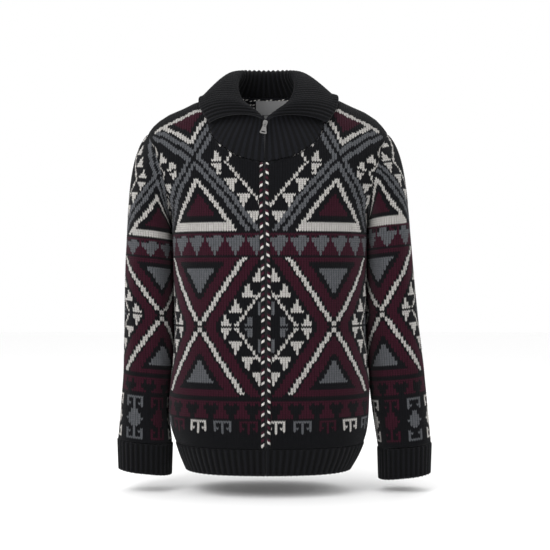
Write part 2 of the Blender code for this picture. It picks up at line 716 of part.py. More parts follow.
def make_collar(seams, material):
    """The collar band, from the right front end round the back to the left front end."""
    halves = {}
    for side in SIDES:
        points, outs, run = seams[side]
        columns = []
        edges = []
        for k in range(COLLAR_RIBS + 1):
            step = k / COLLAR_RIBS
            seam = np.array([np.interp(step, run, points[:, c]) for c in range(3)])
            out = np.array([np.interp(step, run, outs[:, c]) for c in range(3)])
            section = collar_section(side, step, seam - out * WALL / 2.0, unit(out))
            clear = unit(section[1] - section[0]) * SEAM_GAP * 2.0
            columns.append(section)
            edges.append((seam + clear, seam - out * WALL + clear))
        halves[side] = (np.array(columns), np.array(edges))
    right, right_edge = halves["right"]
    left, left_edge = halves["left"]
    middle = np.concatenate([right, left[-2::-1]])
    edge = np.concatenate([right_edge, left_edge[-2::-1]])
    leaf_first = len(COLLAR_STAND_STEPS) + 1
    for i in range(len(middle)):
        side = "right" if middle[i, 0, 0] < 0 else "left"
        middle[i, leaf_first:] = body_push(middle[i, leaf_first:], side, LEAF_CLEARANCE)
    grid = middle.transpose(1, 0, 2)
    normals = grid_normals(grid)
    back = grid.shape[1] // 2
    if normals[1, back, 1] < 0:
        normals = -normals
    for column in (0, -1):
        normals[:leaf_first, column, 0] = 0.0
    normals = unit(normals)
    rows = np.arange(len(grid))
    rise = np.tile(rib_rise(grid.shape[1]), (len(grid), 1))
    outside = rise.copy()
    outside[0] = 0.0
    outside[2:] = 0.0
    inside = rise.copy()
    inside[0] = 0.0
    inside[:leaf_first, :TAPE_COLUMNS] = 0.0
    inside[:leaf_first, -TAPE_COLUMNS:] = 0.0
    fold = np.where(np.abs(rows - leaf_first + 1) <= 1, RIB_WALL * 0.3, 0.0)[:, None]
    face_b = grid + normals * (RIB_WALL / 2.0 - fold + outside)[:, :, None]
    face_a = grid - normals * (RIB_WALL / 2.0 + fold + inside)[:, :, None]
    face_b[0] = edge[:, 0]
    face_a[0] = edge[:, 1]
    turn = grid_normals(face_b)
    if np.dot(turn[1, back], normals[1, back]) < 0:
        face_b = face_b[:, ::-1]
        face_a = face_a[:, ::-1]
    wall_object("collar", face_b, face_a, material)


def make_zip_edges(fronts, material):
    """Marled chain edges: half-round beads that follow each front's zip edge."""
    for side, (grid, _) in fronts.items():
        sign = SIDES[side]
        rows = grid[:LOW_ROWS + ZIP_ROWS + 1, 0]
        profile = (
            (0.0, 0.0), (0.12, 0.8), (0.5, 1.0), (0.88, 0.8), (1.0, 0.0), (0.88, -1.0), (0.12, -1.0),
        )
        width = EDGE_WIDTH + CORE_GAP - 2.0 * SEAM_GAP
        sections = []
        for point in rows:
            z = point[2]
            start = float(centre_x(z)) + sign * SEAM_GAP
            section = []
            for across, out in profile:
                y = point[1] + WALL / 2.0 - out * EDGE_DEPTH
                section.append((start + sign * width * across, y, z))
            sections.append(section)
        sections[0] = [(x, y, z + SEAM_GAP) for x, y, z in sections[0]]
        sections[-1] = [(x, y, z - SEAM_GAP) for x, y, z in sections[-1]]
        loft("zip_edge_" + side, sections, material)


def loft(name, sections, material, smooth=True):
    """Closed solid through equal rings of points, with flat ends."""
    count = len(sections[0])
    vertices = [point for section in sections for point in section]
    faces = []
    for i in range(len(sections) - 1):
        for j in range(count):
            a = i * count + j
            b = i * count + (j + 1) % count
            faces.append((a, b, b + count, a + count))
    faces.append(tuple(reversed(range(count))))
    last = (len(sections) - 1) * count
    faces.append(tuple(range(last, last + count)))
    thing = mesh_object(name, vertices, faces, material, smooth)
    if signed_volume(thing) < 0:
        thing.data.flip_normals()
    return thing


def signed_volume(thing):
    total = 0.0
    vertices = thing.data.vertices
    for polygon in thing.data.polygons:
        corners = [vertices[i].co for i in polygon.vertices]
        for k in range(1, len(corners) - 1):
            total += corners[0].dot(corners[k].cross(corners[k + 1]))
    return total / 6.0


def centre_line():
    """Outer face of the cloth along the zip, from the hem to the slider, as (y, z)."""
    line = []
    for z in np.linspace(HEM_Z, HEM_SEAM_Z, HEM_ROWS + 1)[:-1]:
        line.append((-float(curve(DEPTH, "front", z)), z))
    for row in panel_rows()[:LOW_ROWS + ZIP_ROWS + 1]:
        point = panel_row("left", "front", row, [0.0])[0]
        line.append((point[1], point[2]))
    line.append((COLLAR["roll_y"][0], SLIDER_Z))
    return line


def make_zip_tapes(material):
    line = centre_line()
    for side, sign in SIDES.items():
        sections = []
        for y, z in line:
            x = float(centre_x(z)) + sign * SEAM_GAP * 2.0
            in_collar = z > ZIP_TOP_Z + SEAM_GAP
            near = y + RIB_WALL + (COLLAR_TAPE_ROOM if in_collar else TAPE_ROOM)
            far = near + TAPE_THICK
            edge = x + sign * TAPE_WIDTH
            sections.append([
                (x, near, z), (edge, near + TAPE_THICK, z), (edge, far + TAPE_THICK, z), (x, far, z),
            ])
        loft("zip_tape_" + side, sections, material, smooth=False)


def box_faces():
    return [(0, 3, 2, 1), (4, 5, 6, 7), (0, 1, 5, 4), (1, 2, 6, 5), (2, 3, 7, 6), (3, 0, 4, 7)]


def box_object(name, low, high, material):
    (x0, y0, z0), (x1, y1, z1) = low, high
    vertices = [
        (x0, y0, z0), (x1, y0, z0), (x1, y1, z0), (x0, y1, z0),
        (x0, y0, z1), (x1, y0, z1), (x1, y1, z1), (x0, y1, z1),
    ]
    return mesh_object(name, vertices, box_faces(), material, smooth=False)


def plate_object(name, outline, holes, near, far, material):
    """Flat plate from an outline in X and Z, with rectangular holes cut through it."""
    sections = [[(x, y, z) for x, z in outline] for y in (near, far)]
    plate = loft(name, sections, material, smooth=False)
    margin = 0.002
    for k, (x0, x1, z0, z1) in enumerate(holes):
        cutter_name = f"{name}_cutter_{k}"
        cutter = box_object(cutter_name, (x0, near - margin, z0), (x1, far + margin, z1), material)
        cutter.parent = plate
        add_boolean(plate, cutter, "DIFFERENCE")
    return plate


def add_boolean(thing, tool, operation):
    """Joins or cuts one solid with another, which itself is only a guide."""
    tool.hide_render = True
    tool.display_type = "WIRE"
    change = thing.modifiers.new(tool.name, "BOOLEAN")
    change.operation = operation
    change.object = tool
    change.solver = "EXACT"


def slider_face_y():
    """Front face of the collar's two ends at the slider."""
    return COLLAR["roll_y"][0] - RIB_WALL / 2.0 - SEAM_GAP


def pull_axis():
    """Middle of the pull's crossbar, halfway between the slider's face and its strap."""
    front = slider_face_y() - SEAM_GAP - SLIDER_THICK
    return float(centre_x(SLIDER_Z)), front - (STRAP_ROOM - STRAP_THICK) / 2.0, SLIDER_Z


def make_slider(material):
    """Slider plate with the strap that its pull turns under, about the pull's axis."""
    axis_y = pull_axis()[1]
    back = slider_face_y() - SEAM_GAP - axis_y
    front = back - SLIDER_THICK
    body = (
        (0.60, 1.0), (1.0, 0.55), (1.0, -0.30), (0.62, -1.0),
        (-0.62, -1.0), (-1.0, -0.30), (-1.0, 0.55), (-0.60, 1.0),
    )
    outline = [(sx * SLIDER_HALF_WIDTH, sz * SLIDER_HALF_HEIGHT) for sx, sz in body]
    plate = [[(x, y, z) for x, z in outline] for y in (back, front)]
    slider = loft("zip_slider", plate, material, smooth=False)
    root = front + 0.0005
    top = front - STRAP_ROOM
    bend = 0.75 * STRAP_HALF_HEIGHT
    inside = bend - 0.6 * STRAP_THICK
    foot = STRAP_HALF_HEIGHT - STRAP_THICK
    strap = (
        (root, STRAP_HALF_HEIGHT), (top, bend), (top, -bend), (root, -STRAP_HALF_HEIGHT),
        (root, -foot), (top + STRAP_THICK, -inside), (top + STRAP_THICK, inside), (root, foot),
    )
    sides = (-STRAP_HALF_WIDTH, STRAP_HALF_WIDTH)
    arch = [[(x, y, z) for y, z in strap] for x in sides]
    bridge = loft("zip_slider_strap", arch, material, smooth=False)
    bridge.parent = slider
    add_boolean(slider, bridge, "UNION")
    slider.location = pull_axis()
    slider.rotation_euler = (0.0, PULL_LEAN, 0.0)


def make_pull(material):
    bar = PULL_BAR / 2.0
    half_top = PULL_TOP_WIDTH / 2.0
    half_end = PULL_END_WIDTH / 2.0
    corner = 0.0015
    rim = 0.0027
    play = 0.0007
    outline = [
        (half_top, bar), (-half_top, bar), (-half_top, -PULL_EYE),
        (-half_end, corner - PULL_LENGTH), (corner - half_end, -PULL_LENGTH),
        (half_end - corner, -PULL_LENGTH), (half_end, corner - PULL_LENGTH), (half_top, -PULL_EYE),
    ]
    holes = (
        (-STRAP_HALF_WIDTH - play, STRAP_HALF_WIDTH + play, -PULL_EYE, -bar),
        (rim - half_end, half_end - rim, -PULL_SLOT_FAR, -PULL_SLOT_NEAR),
    )
    half_thick = PULL_THICK / 2.0
    pull = plate_object("zip_pull", outline, holes, -half_thick, half_thick, material)
    pull.location = pull_axis()
    pull.rotation_euler = (0.0, PULL_LEAN, 0.0)


def back_inside(x, z):
    """Inner face of the back panel near the neck."""
    side = "left" if x >= 0 else "right"
    depth = float(curve(DEPTH, "back", z) * dome(x, z, side)) * float(wrap(x, YOKE_HALF))
    return depth - WALL * 1.15 - SEAM_GAP


def make_label(name, label, material):
    across = np.linspace(-label["half_width"], label["half_width"], 5)
    heights = np.linspace(label["bottom"], label["top"], 4)
    outer = np.array([
        [(LABEL_X + x, back_inside(LABEL_X + x, z) - LABEL_ROOM, z) for x in across]
        for z in heights
    ])
    inner = outer - np.array([0.0, LABEL_THICK, 0.0])
    turn = grid_normals(outer)
    if turn[1, 2, 1] < 0:
        outer = outer[:, ::-1]
        inner = inner[:, ::-1]
    wall_object(name, outer, inner, material)


def make_materials():
    made = {}
    for name, (colour, roughness, metallic) in MATERIALS.items():
        material = bpy.data.materials.new(name)
        material.use_nodes = True
        shader = material.node_tree.nodes["Principled BSDF"]
        shader.inputs["Base Color"].default_value = colour
        shader.inputs["Roughness"].default_value = roughness
        shader.inputs["Metallic"].default_value = metallic
        made[name] = material
    return made


def clear_scene():
    for thing in list(bpy.data.objects):
        bpy.data.objects.remove(thing, do_unlink=True)


def main():
    clear_scene()
    materials = make_materials()
    fronts = {side: make_front(side, materials["pattern_knit"]) for side in SIDES}
    back_grid, back_normals = make_back(materials["pattern_knit"])
    seams = {}
    for side in SIDES:
        grid, normals = fronts[side]
        seams[side] = neck_seam(side, grid, normals, back_grid, back_normals)
        make_sleeve(side, materials["pattern_knit"])
        make_cuff(side, materials["black_knit"])
    make_hem(materials["black_knit"])
    make_collar(seams, materials["black_knit"])
    make_zip_edges(fronts, materials["marled_edge"])
    make_zip_tapes(materials["zip_tape"])
    make_slider(materials["nickel"])
    make_pull(materials["nickel"])
    make_label("neck_label", NECK_LABEL, materials["label_satin"])
    make_label("size_label", SIZE_LABEL, materials["label_satin"])


main()
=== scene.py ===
# %% [markdown]
# A chunky knitted zip cardigan, filled out as if somebody wore it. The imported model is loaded
# first and stays as it is. Every cloth piece below is knitted again over its own solid, stitch by
# stitch, and the metal parts keep their solids and get better finishes.

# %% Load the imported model
import json
import math

import bmesh
import bpy
import numpy as np
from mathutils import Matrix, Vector

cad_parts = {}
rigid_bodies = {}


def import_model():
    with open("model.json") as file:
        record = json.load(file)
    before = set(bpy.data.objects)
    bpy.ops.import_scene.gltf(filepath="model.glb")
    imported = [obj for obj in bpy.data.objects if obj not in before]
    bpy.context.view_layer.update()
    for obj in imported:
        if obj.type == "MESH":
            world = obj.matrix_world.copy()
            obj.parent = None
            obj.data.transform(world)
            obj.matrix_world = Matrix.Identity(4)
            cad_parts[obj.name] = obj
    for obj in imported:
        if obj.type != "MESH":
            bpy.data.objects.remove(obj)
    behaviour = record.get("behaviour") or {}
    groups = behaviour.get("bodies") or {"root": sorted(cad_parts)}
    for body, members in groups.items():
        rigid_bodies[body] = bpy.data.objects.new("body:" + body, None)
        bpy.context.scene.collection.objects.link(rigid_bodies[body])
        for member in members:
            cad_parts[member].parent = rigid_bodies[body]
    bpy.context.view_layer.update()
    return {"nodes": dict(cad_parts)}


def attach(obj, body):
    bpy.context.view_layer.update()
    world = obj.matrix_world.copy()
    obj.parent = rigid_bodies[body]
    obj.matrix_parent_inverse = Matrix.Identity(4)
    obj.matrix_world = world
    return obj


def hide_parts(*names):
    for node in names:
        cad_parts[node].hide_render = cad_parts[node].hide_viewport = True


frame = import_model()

SEED = 11

# %% [markdown]
# The real cardigan is cut as panels, and knitted ribs are sewn to them. To lay stitches on the
# solids, the script needs the same curves that the solids were drawn with. They are short tables,
# read as smooth curves, in metres from the middle between the two neck points.

# %% The garment's own measures
WALL = 0.0035
RIB_WALL = 0.0040
SEAM_GAP = 0.0003
ARMPIT_Z = -0.222
HEM_SEAM_Z = -0.641
HEM_Z = -0.691
ZIP_TOP_Z = -0.129
NECK_HALF = 0.092
SHOULDER_ROLL = 0.170
BODY_POWER = 2.5
EDGE_WIDTH = 0.0086
CORE_GAP = 0.0008
ZIP_REACH = 0.060        # how far from the zip the cloth follows the zip's wandering line
SIDES = {"right": -1.0, "left": 1.0}

CENTRE = {
    "z": (-0.691, -0.550, -0.350, -0.280, -0.200, -0.120, -0.060),
    "x": (-0.0010, 0.0000, 0.0000, -0.0020, -0.0035, -0.0030, -0.0015),
}
DEPTH = {
    "z": (-0.691, -0.641, -0.590, -0.460, -0.330, -0.200, -0.100, 0.020),
    "front": (0.112, 0.123, 0.130, 0.132, 0.131, 0.122, 0.107, 0.094),
    "back": (0.110, 0.121, 0.128, 0.122, 0.124, 0.128, 0.118, 0.096),
}
SIDE = {
    "z": (-0.691, -0.665, -0.641, -0.615, -0.580, -0.535, -0.490, -0.430, -0.330, -0.222),
    "right": (0.148, 0.159, 0.167, 0.176, 0.181, 0.178, 0.173, 0.170, 0.172, 0.175),
    "left": (0.155, 0.170, 0.180, 0.187, 0.190, 0.191, 0.187, 0.184, 0.185, 0.186),
}
ARMHOLE = {
    "turn": (0, 30, 60, 90, 120, 150, 180, 210, 240, 270, 300, 330),
    "right": (0.221, 0.214, 0.203, 0.192, 0.182, 0.176, 0.175, 0.177, 0.184, 0.194, 0.205, 0.215),
    "left": (0.226, 0.220, 0.210, 0.200, 0.191, 0.187, 0.186, 0.188, 0.194, 0.203, 0.212, 0.221),
    "y": (0.0, -0.040, -0.068, -0.080, -0.078, -0.050, 0.0, 0.052, 0.081, 0.085, 0.070, 0.040),
    "z": (
        -0.071, -0.082, -0.105, -0.138, -0.172, -0.205,
        -0.222, -0.206, -0.172, -0.138, -0.104, -0.081,
    ),
}
RIDGE = {
    "x": (0.000, 0.030, 0.060, 0.080, 0.092, 0.112, 0.132, 0.154, 0.180, 0.199, 0.210, 0.221),
    "right": (
        0.091, 0.083, 0.055, 0.025, 0.000, -0.006, -0.012, -0.023, -0.034, -0.046, -0.056, -0.071,
    ),
    "left": (
        0.091, 0.083, 0.055, 0.025, 0.000, -0.002, -0.007, -0.018, -0.030, -0.043, -0.055, -0.071,
    ),
}
NECKLINE = {
    "step": (0.0, 0.2, 0.4, 0.6, 0.8, 1.0),
    "x": (0.0, 0.045, 0.081, 0.104, 0.107, 0.092),
    "z": (-0.129, -0.125, -0.104, -0.068, -0.031, 0.0),
}
BACK_NECK_Z = 0.011
SLEEVE_SHARED = {
    "y": (0.006, 0.008, 0.010, 0.006, 0.000, -0.006),
    "depth": (0.074, 0.068, 0.062, 0.057, 0.053, 0.049),
}
SLEEVE = {
    "right": {
        "z": (-0.250, -0.327, -0.417, -0.507, -0.575, -0.640),
        "inner": (0.177, 0.1738, 0.172, 0.176, 0.183, 0.177),
        "outer": (0.259, 0.263, 0.265, 0.266, 0.270, 0.275),
        **SLEEVE_SHARED,
    },
    "left": {
        "z": (-0.250, -0.327, -0.417, -0.507, -0.575, -0.648),
        "inner": (0.188, 0.1868, 0.186, 0.191, 0.198, 0.209),
        "outer": (0.267, 0.274, 0.283, 0.293, 0.299, 0.305),
        **SLEEVE_SHARED,
    },
}
SLEEVE_POWER = 2.3
CUFF_DEPTH = 0.057
CUFF_TILT = 0.010
CUFF_DRAW = 0.96


def curve(table, column, at, key="z"):
    """Smooth curve through a table's rows: cubic pieces whose slopes never overshoot."""
    knots = np.asarray(table[key], float)
    values = np.asarray(table[column], float)
    if knots[0] > knots[-1]:
        knots = knots[::-1]
        values = values[::-1]
    at = np.clip(np.asarray(at, float), knots[0], knots[-1])
    step = np.diff(knots)
    slope = np.diff(values) / step
    tangent = np.zeros(len(knots))
    tangent[0] = slope[0]
    tangent[-1] = slope[-1]
    for i in range(1, len(knots) - 1):
        if slope[i - 1] * slope[i] > 0:
            weight_a = 2 * step[i] + step[i - 1]
            weight_b = step[i] + 2 * step[i - 1]
            tangent[i] = (weight_a + weight_b) / (weight_a / slope[i - 1] + weight_b / slope[i])
    i = np.clip(np.searchsorted(knots, at, side="right") - 1, 0, len(knots) - 2)
    s = (at - knots[i]) / step[i]
    from_start = (1 + 2 * s) * (1 - s) ** 2 * values[i] + s * (1 - s) ** 2 * step[i] * tangent[i]
    from_end = s * s * (3 - 2 * s) * values[i + 1] + s * s * (s - 1) * step[i] * tangent[i + 1]
    return from_start + from_end


def unit(vectors):
    """Vectors of length one."""
    length = np.linalg.norm(vectors, axis=-1, keepdims=True)
    return vectors / np.maximum(length, 1e-9)


def ease(s):
    """0 to 1 with a soft start and end."""
    s = np.clip(s, 0.0, 1.0)
    return s * s * (3 - 2 * s)


def centre_x(z):
    """Middle line of the closed zip."""
    return curve(CENTRE, "x", z)


print("body", round(2000 * SIDE["right"][-1]), "mm wide under the arms")

# %% [markdown]
# A filled-out body is nearly a rounded box: each level ring is a squarish oval, and the ring rolls
# over at the shoulders like a dome. One formula for both keeps front, back and shoulders smooth
# where they meet, which loose patches would not.

# %% The body's surface
def ridge_z(x, side):
    """Crest of the shoulder, and inside the neck point the arch that the neckline is cut from."""
    reach = ARMHOLE[side][0] / RIDGE["x"][-1]
    beyond_neck = np.clip((np.abs(x) - NECK_HALF) / (RIDGE["x"][-1] - NECK_HALF), 0.0, 1.0)
    stretch = 1.0 + (reach - 1.0) * beyond_neck
    return np.interp(np.abs(x) / stretch, RIDGE["x"], RIDGE[side])


def dome(x, z, side):
    """1 on the chest, falling to 0 on the shoulder's crest."""
    height = np.clip((ridge_z(x, side) - z) / SHOULDER_ROLL, 0.0, 1.0)
    return np.sqrt(np.maximum(1.0 - (1.0 - height) ** 2, 0.0))


def wrap(x, half_width):
    """1 at the middle of a ring, falling to 0 at its side."""
    share = np.clip(np.abs(x) / half_width, 0.0, 1.0)
    return (1.0 - share ** BODY_POWER) ** (1.0 / BODY_POWER)


def armhole_point(side, turn):
    """Point of the armhole seam, by a closed smooth curve through its table."""
    count = len(ARMHOLE["turn"])
    place = (turn % 360.0) / (360.0 / count)
    i = int(math.floor(place)) % count
    s = place - math.floor(place)
    point = []
    for column in (side, "y", "z"):
        a, b, c, d = (ARMHOLE[column][(i + k) % count] for k in (-1, 0, 1, 2))
        bend = (2 * a - 5 * b + 4 * c - d) * s * s + (3 * b - a - 3 * c + d) * s ** 3
        point.append(0.5 * (2 * b + (c - a) * s + bend))
    return np.array([SIDES[side] * point[0], point[1], point[2]])


def side_point(side, face, row):
    """End of a panel's row: rows 0 to 1 end on the side seam, rows 1 to 2 on the armhole."""
    if row <= 1.0:
        z = HEM_SEAM_Z + (ARMPIT_Z - HEM_SEAM_Z) * row
        return np.array([SIDES[side] * float(curve(SIDE, side, z)), 0.0, z])
    turn = 180.0 * (2.0 - row)
    return armhole_point(side, 360.0 - turn if face == "back" else turn)


ZIP_SHARE = 0.4          # share of the rows above the armpit that still end at the zip


def inner_point(side, face, row):
    """Start of a panel's row, as (x, z): at the zip or the neckline, or the middle of the back."""
    low_z = HEM_SEAM_Z + (ARMPIT_Z - HEM_SEAM_Z) * row
    if face == "back":
        top = ARMPIT_Z + (BACK_NECK_Z - ARMPIT_Z) * (row - 1.0)
        return 0.0, top if row > 1.0 else low_z
    edge = EDGE_WIDTH + CORE_GAP
    if row <= 1.0:
        z = low_z
    elif row <= 1.0 + ZIP_SHARE:
        z = ARMPIT_Z + (ZIP_TOP_Z - ARMPIT_Z) * (row - 1.0) / ZIP_SHARE
    else:
        step = (row - 1.0 - ZIP_SHARE) / (1.0 - ZIP_SHARE)
        z = float(curve(NECKLINE, "z", step, key="step"))
        x = float(curve(NECKLINE, "x", step, key="step"))
        fade = float(ease(1.0 - x / ZIP_REACH))
        return SIDES[side] * max(x, edge) + fade * float(centre_x(z)), z
    return SIDES[side] * edge + float(centre_x(z)), z


def panel_row(side, face, row, count=161):
    """Points of the cloth's outer face along one row of half a panel, from its middle outwards."""
    end = side_point(side, face, row)
    start_x, start_z = inner_point(side, face, row)
    forward = -1.0 if face == "front" else 1.0
    high = max(row - 1.0, 0.0)
    x = start_x + (end[0] - start_x) * np.linspace(0.0, 1.0, count)
    z = start_z + (end[2] - start_z) * (x - start_x) / (end[0] - start_x)
    crest = ridge_z(x, side)
    neck_start = NECK_HALF * SIDES[side]
    if face == "back":
        arc = BACK_NECK_Z * np.sqrt(np.maximum(1.0 - (x / NECK_HALF) ** 2, 0.0))
        top = np.where(np.abs(x) < NECK_HALF, arc, crest)
        level = BACK_NECK_Z + (end[2] - BACK_NECK_Z) * (x / end[0])
        z = z + (high ** 2) * (top - level)
    else:
        straight = end[2] * (x - neck_start) / (end[0] - neck_start)
        z = z + (high ** 3) * (crest - straight)
    depth = curve(DEPTH, face, z) * dome(x, z, side)
    share = 0.0
    if high > 0.0:
        end_depth = float(curve(DEPTH, face, end[2]) * dome(end[0], end[2], side))
        if end_depth > 1e-6:
            share = min(abs(end[1]) / end_depth, 0.97)
    half_width = abs(end[0]) / (1.0 - share ** BODY_POWER) ** (1.0 / BODY_POWER)
    y = forward * depth * wrap(x, half_width) + forward * SEAM_GAP / 2.0
    points = np.stack([x, y, z], axis=1)
    points[-1] = end
    return points


print("front neck seam starts", round(-1000 * ZIP_TOP_Z), "mm under the neck points")

# %% [markdown]
# Knitted cloth is rows of loops. Seen from outside, each loop is a V of two slanting legs, and
# the V's stand in columns. A chunky wool knits at about 21 stitches and 25 rows to 10 cm, so a
# stitch here is 4.7 mm wide and 3.9 mm high. Drawing that only as a bump would leave the edges of
# the cloth flat, so each leg is a small raised facet of its own, and the yarn's own twist, which
# is finer than that, is left to the material.

# %% Stitch size, and how a surface is measured out in stitches
STITCH = 0.0047
ROW = 0.0039
LEG_LIFT = 0.0013        # how far the middle of a leg stands above its ends
LEG_SLANT = 0.45         # how far a leg's outer end climbs, in rows


def with_normals(points, outward):
    """Adds the surface's direction to a grid of points, pointing to the outside."""
    along = np.gradient(points, axis=0)
    across = np.gradient(points, axis=1)
    normals = unit(np.cross(across, along))
    if np.mean(np.sum(normals * outward, axis=2)) < 0:
        normals = -normals
    return normals


def resample(points, normals, across, up, targets_across, targets_up, climb=LEG_SLANT * ROW):
    """Reads a dense surface at whole stitches and rows; what lies past its edge stays on the edge.

    across and up give each dense point's place in metres of cloth, and rise along both axes.
    """
    fields = np.concatenate([points, normals, up[:, :, None]], axis=2)
    rows = len(points)
    lines = np.zeros((rows, len(targets_across), 7))
    for r in range(rows):
        for c in range(7):
            lines[r, :, c] = np.interp(targets_across, across[r], fields[r, :, c])
    grid = np.zeros((len(targets_up), len(targets_across), 6))
    for k in range(len(targets_across)):
        height = np.maximum.accumulate(lines[:, k, 6]) + np.arange(rows) * 1e-9
        wanted = np.asarray(targets_up) + (climb if k % 2 == 0 else -climb)
        for c in range(6):
            grid[:, k, c] = np.interp(wanted, height, lines[:, k, c])
    return grid[:, :, :3], unit(grid[:, :, 3:])


def run_along(points, axis=1):
    """Distance along each line of a grid of points."""
    step = np.linalg.norm(np.diff(points, axis=axis), axis=2)
    total = np.cumsum(step, axis=axis)
    start = np.zeros_like(total[:, :1] if axis == 1 else total[:1])
    return np.concatenate([start, total], axis=axis)


print("one stitch is", STITCH * 1000, "by", ROW * 1000, "mm")

# %% [markdown]
# The pattern is a traditional one, of the kind found on flat-woven rugs and blankets: crossing
# bands, stepped triangles, rows of small hearts and a row of hooks. Knitters draw such a pattern
# as rules on squared paper. The same is done here: each rule looks at how far a stitch is from the
# line where the bands cross and how many rows it is from there, and gives its yarn. Every number
# in a rule is so many stitches or rows. Nothing is copied from a picture, and the left and right
# of the chart mirror each other.

# %% The yarns and the chart
INK, IVORY, GREY, WINE = 0, 1, 2, 3
REPEAT = 52              # stitches from one diamond's middle to the next
CROSS_ROW = 55.0         # row of the lower crossing, counted from the hem seam
YOKE_ROW = 133.0         # row of the upper crossing
HEART = (
    "W.W.GGG.", "WGGGGGGG", "WGGGGGGG", "WWGGGGGW", "WWGGGGGW", "WWWGGGWW", "WWWGGGWW", "WWWWGWWW",
    "WWWWGWWW",
)
SMALL_HEART = ("W.WW.WWW", "......WW", "......WW", "W....WWW", "W....WWW", "WW..WWWW", "WW..WWWW")
HORNS = (
    "#######...", "#..#..#...", "#..#..#...", "##.#.##...", "#..#..#...", "...#......", "..###.....",
    "..###.....", ".#####....", ".#####....", "#######...", ".#####....", ".#####....", "..###.....",
    "...#......", "#..#..#...", "##.#.##...", "#..#..#...", "#..#..#...", "#######...",
)
HORN_PITCH = 10
BODY_HORNS = (7.0, 6)    # first row of the horned motifs and how many of their rows are knitted
SLEEVE_HORNS = (-8.0, 20)
LETTERS = {".": INK, "I": IVORY, "G": GREY, "W": WINE}


def tree(b, t, first, step, pitch):
    """Small stepped triangles, six rows tall and five stitches wide, in a slanting line."""
    count = math.floor(t / pitch)
    half = (2.5, 2.0, 1.5, 1.1, 0.6, 0.55, -1.0, -1.0)[int(t - count * pitch)]
    return abs(b - first - step * count) <= half


def crossing(b, rise):
    """The lower crossing. b is stitches from the crossing's axis and rise is rows above it."""
    t = abs(rise)
    top = 1.0 if rise > 0 else 0.965
    line = b - 0.565 * t
    if t < 0.8:
        return INK if b < 2.2 else (WINE if b < 7.0 else INK)
    if abs(line) <= 1.0 and (t > 2.6 or b < 1.1):
        return IVORY if t < 32.0 * top else INK
    if t >= 32.8 * top:
        return INK
    if line < 0:
        if t >= 29.8 * top:
            return WINE if line < -2.0 else INK
        if t >= 26.8 * top:
            return INK if line < -6.3 else (WINE if line < -2.0 else INK)
        if -6.3 <= line <= -2.0:
            return WINE
        return GREY if line < -8.5 else INK
    if 2.0 <= line <= 6.2:
        return WINE
    if tree(b, t, 10.7, 4.2, 7.0) and t < 28.0:
        return IVORY
    if abs(b - 14.4 - 0.62 * t) <= 0.62 and t < 17.0:
        return IVORY
    if t < 0.95 and b > 20.6 or t < 4.2 and 19.4 < b <= 20.6 or t < 1.6 and 18.2 < b <= 19.4:
        return GREY
    return GREY if 5.5 < t < 11.5 and 22.8 < b < 24.7 else INK


def yoke(b, rise):
    """The upper crossing, of double bands, with nested triangles above and below it."""
    t = abs(rise)
    line = b - 0.62 * t
    if abs(line) < 0.75:
        return INK
    if abs(line) <= 2.85:
        return GREY
    if line < 0:
        depth = -line + (2.0 if rise > 0 else 0.0)
        if 6.0 <= depth <= 7.9:
            return IVORY
        return WINE if depth > 10.6 and t < 28.0 else INK
    t = abs(rise + 3.0)
    if t > 0.8 and tree(b, t, 9.2, 4.2, 7.4) and t < 29.0:
        return IVORY
    return IVORY if abs(b - 12.6 - 0.60 * t) <= 0.62 else INK


def chart(column, row, horns):
    """Yarn of the stitch in a column, counted from the middle, and a row, from the rib's seam."""
    if row < 14.0:
        line = int(row - horns[0])
        if row < horns[0] or line >= horns[1]:
            return INK
        letter = HORNS[horns[1] - 1 - line][math.floor(column) % HORN_PITCH]
        return (IVORY, GREY, WINE)[math.floor(column / HORN_PITCH) % 3] if letter == "#" else INK
    place = abs(column + 0.5) % REPEAT
    b = REPEAT / 2.0 - min(place, REPEAT - place)
    step = math.floor(column) % 8
    if row < 21.0:
        return LETTERS[SMALL_HEART[int(20 - row)][step]]
    if row < 22.0:
        return WINE
    if row < 24.0:
        return INK
    if row < 87.0:
        return crossing(b, row - CROSS_ROW)
    if row < 88.0:
        return INK
    if row < 97.0:
        return LETTERS[HEART[int(96 - row)][step]]
    if row < 98.0:
        return WINE
    if row < 98.8:
        return INK
    if row < 102.6 and b < 12.6:
        return IVORY
    if row < 157.6:
        return yoke(b, row - YOKE_ROW)
    return IVORY if 157.6 <= row < 160.0 and b < 15.0 else INK


def chart_grid(columns, rows, horns):
    """Yarns of a whole piece, one number a stitch, from each stitch's place on the chart."""
    place = np.broadcast_arrays(columns, rows)
    return np.array([
        [chart(column, row, horns) for column, row in zip(*line)] for line in zip(*place)
    ])


print("the chart repeats every", REPEAT, "stitches, about", round(REPEAT * STITCH * 1000), "mm")

# %% [markdown]
# One function knits every piece. It takes the places where stitches meet, drops the cells that
# the piece's edge leaves no room for, and raises the middle of each leg. A second plain layer
# behind it is the cloth's inner face, and the rim between them closes the piece, so the cloth has
# a real thickness at the hem, cuffs and neck.

# %% Yarn colours, and the light and shade painted on each leg
def linear(hex_colour):
    """Linear red, green and blue of an sRGB hex colour."""
    parts = [int(hex_colour[i:i + 2], 16) / 255.0 for i in (1, 3, 5)]
    return [c / 12.92 if c <= 0.04045 else ((c + 0.055) / 1.055) ** 2.4 for c in parts]


YARN_HEX = {INK: "#0c0d11", IVORY: "#c0bdb9", GREY: "#5c5e62", WINE: "#36101f"}
YARN_COLOURS = np.array([linear(YARN_HEX[y]) for y in sorted(YARN_HEX)])
TOP_LIGHT = 1.15         # painted highlight: the top of a leg catches light
MIDDLE_LIGHT = 0.60      # painted shade: its end in the V's middle lies deeper
EDGE_LIGHT = 0.22        # and painted shade where its end lies in the furrow between two columns
luck = np.random.default_rng(SEED)
print("yarns, in linear light:", YARN_COLOURS.round(3).tolist())


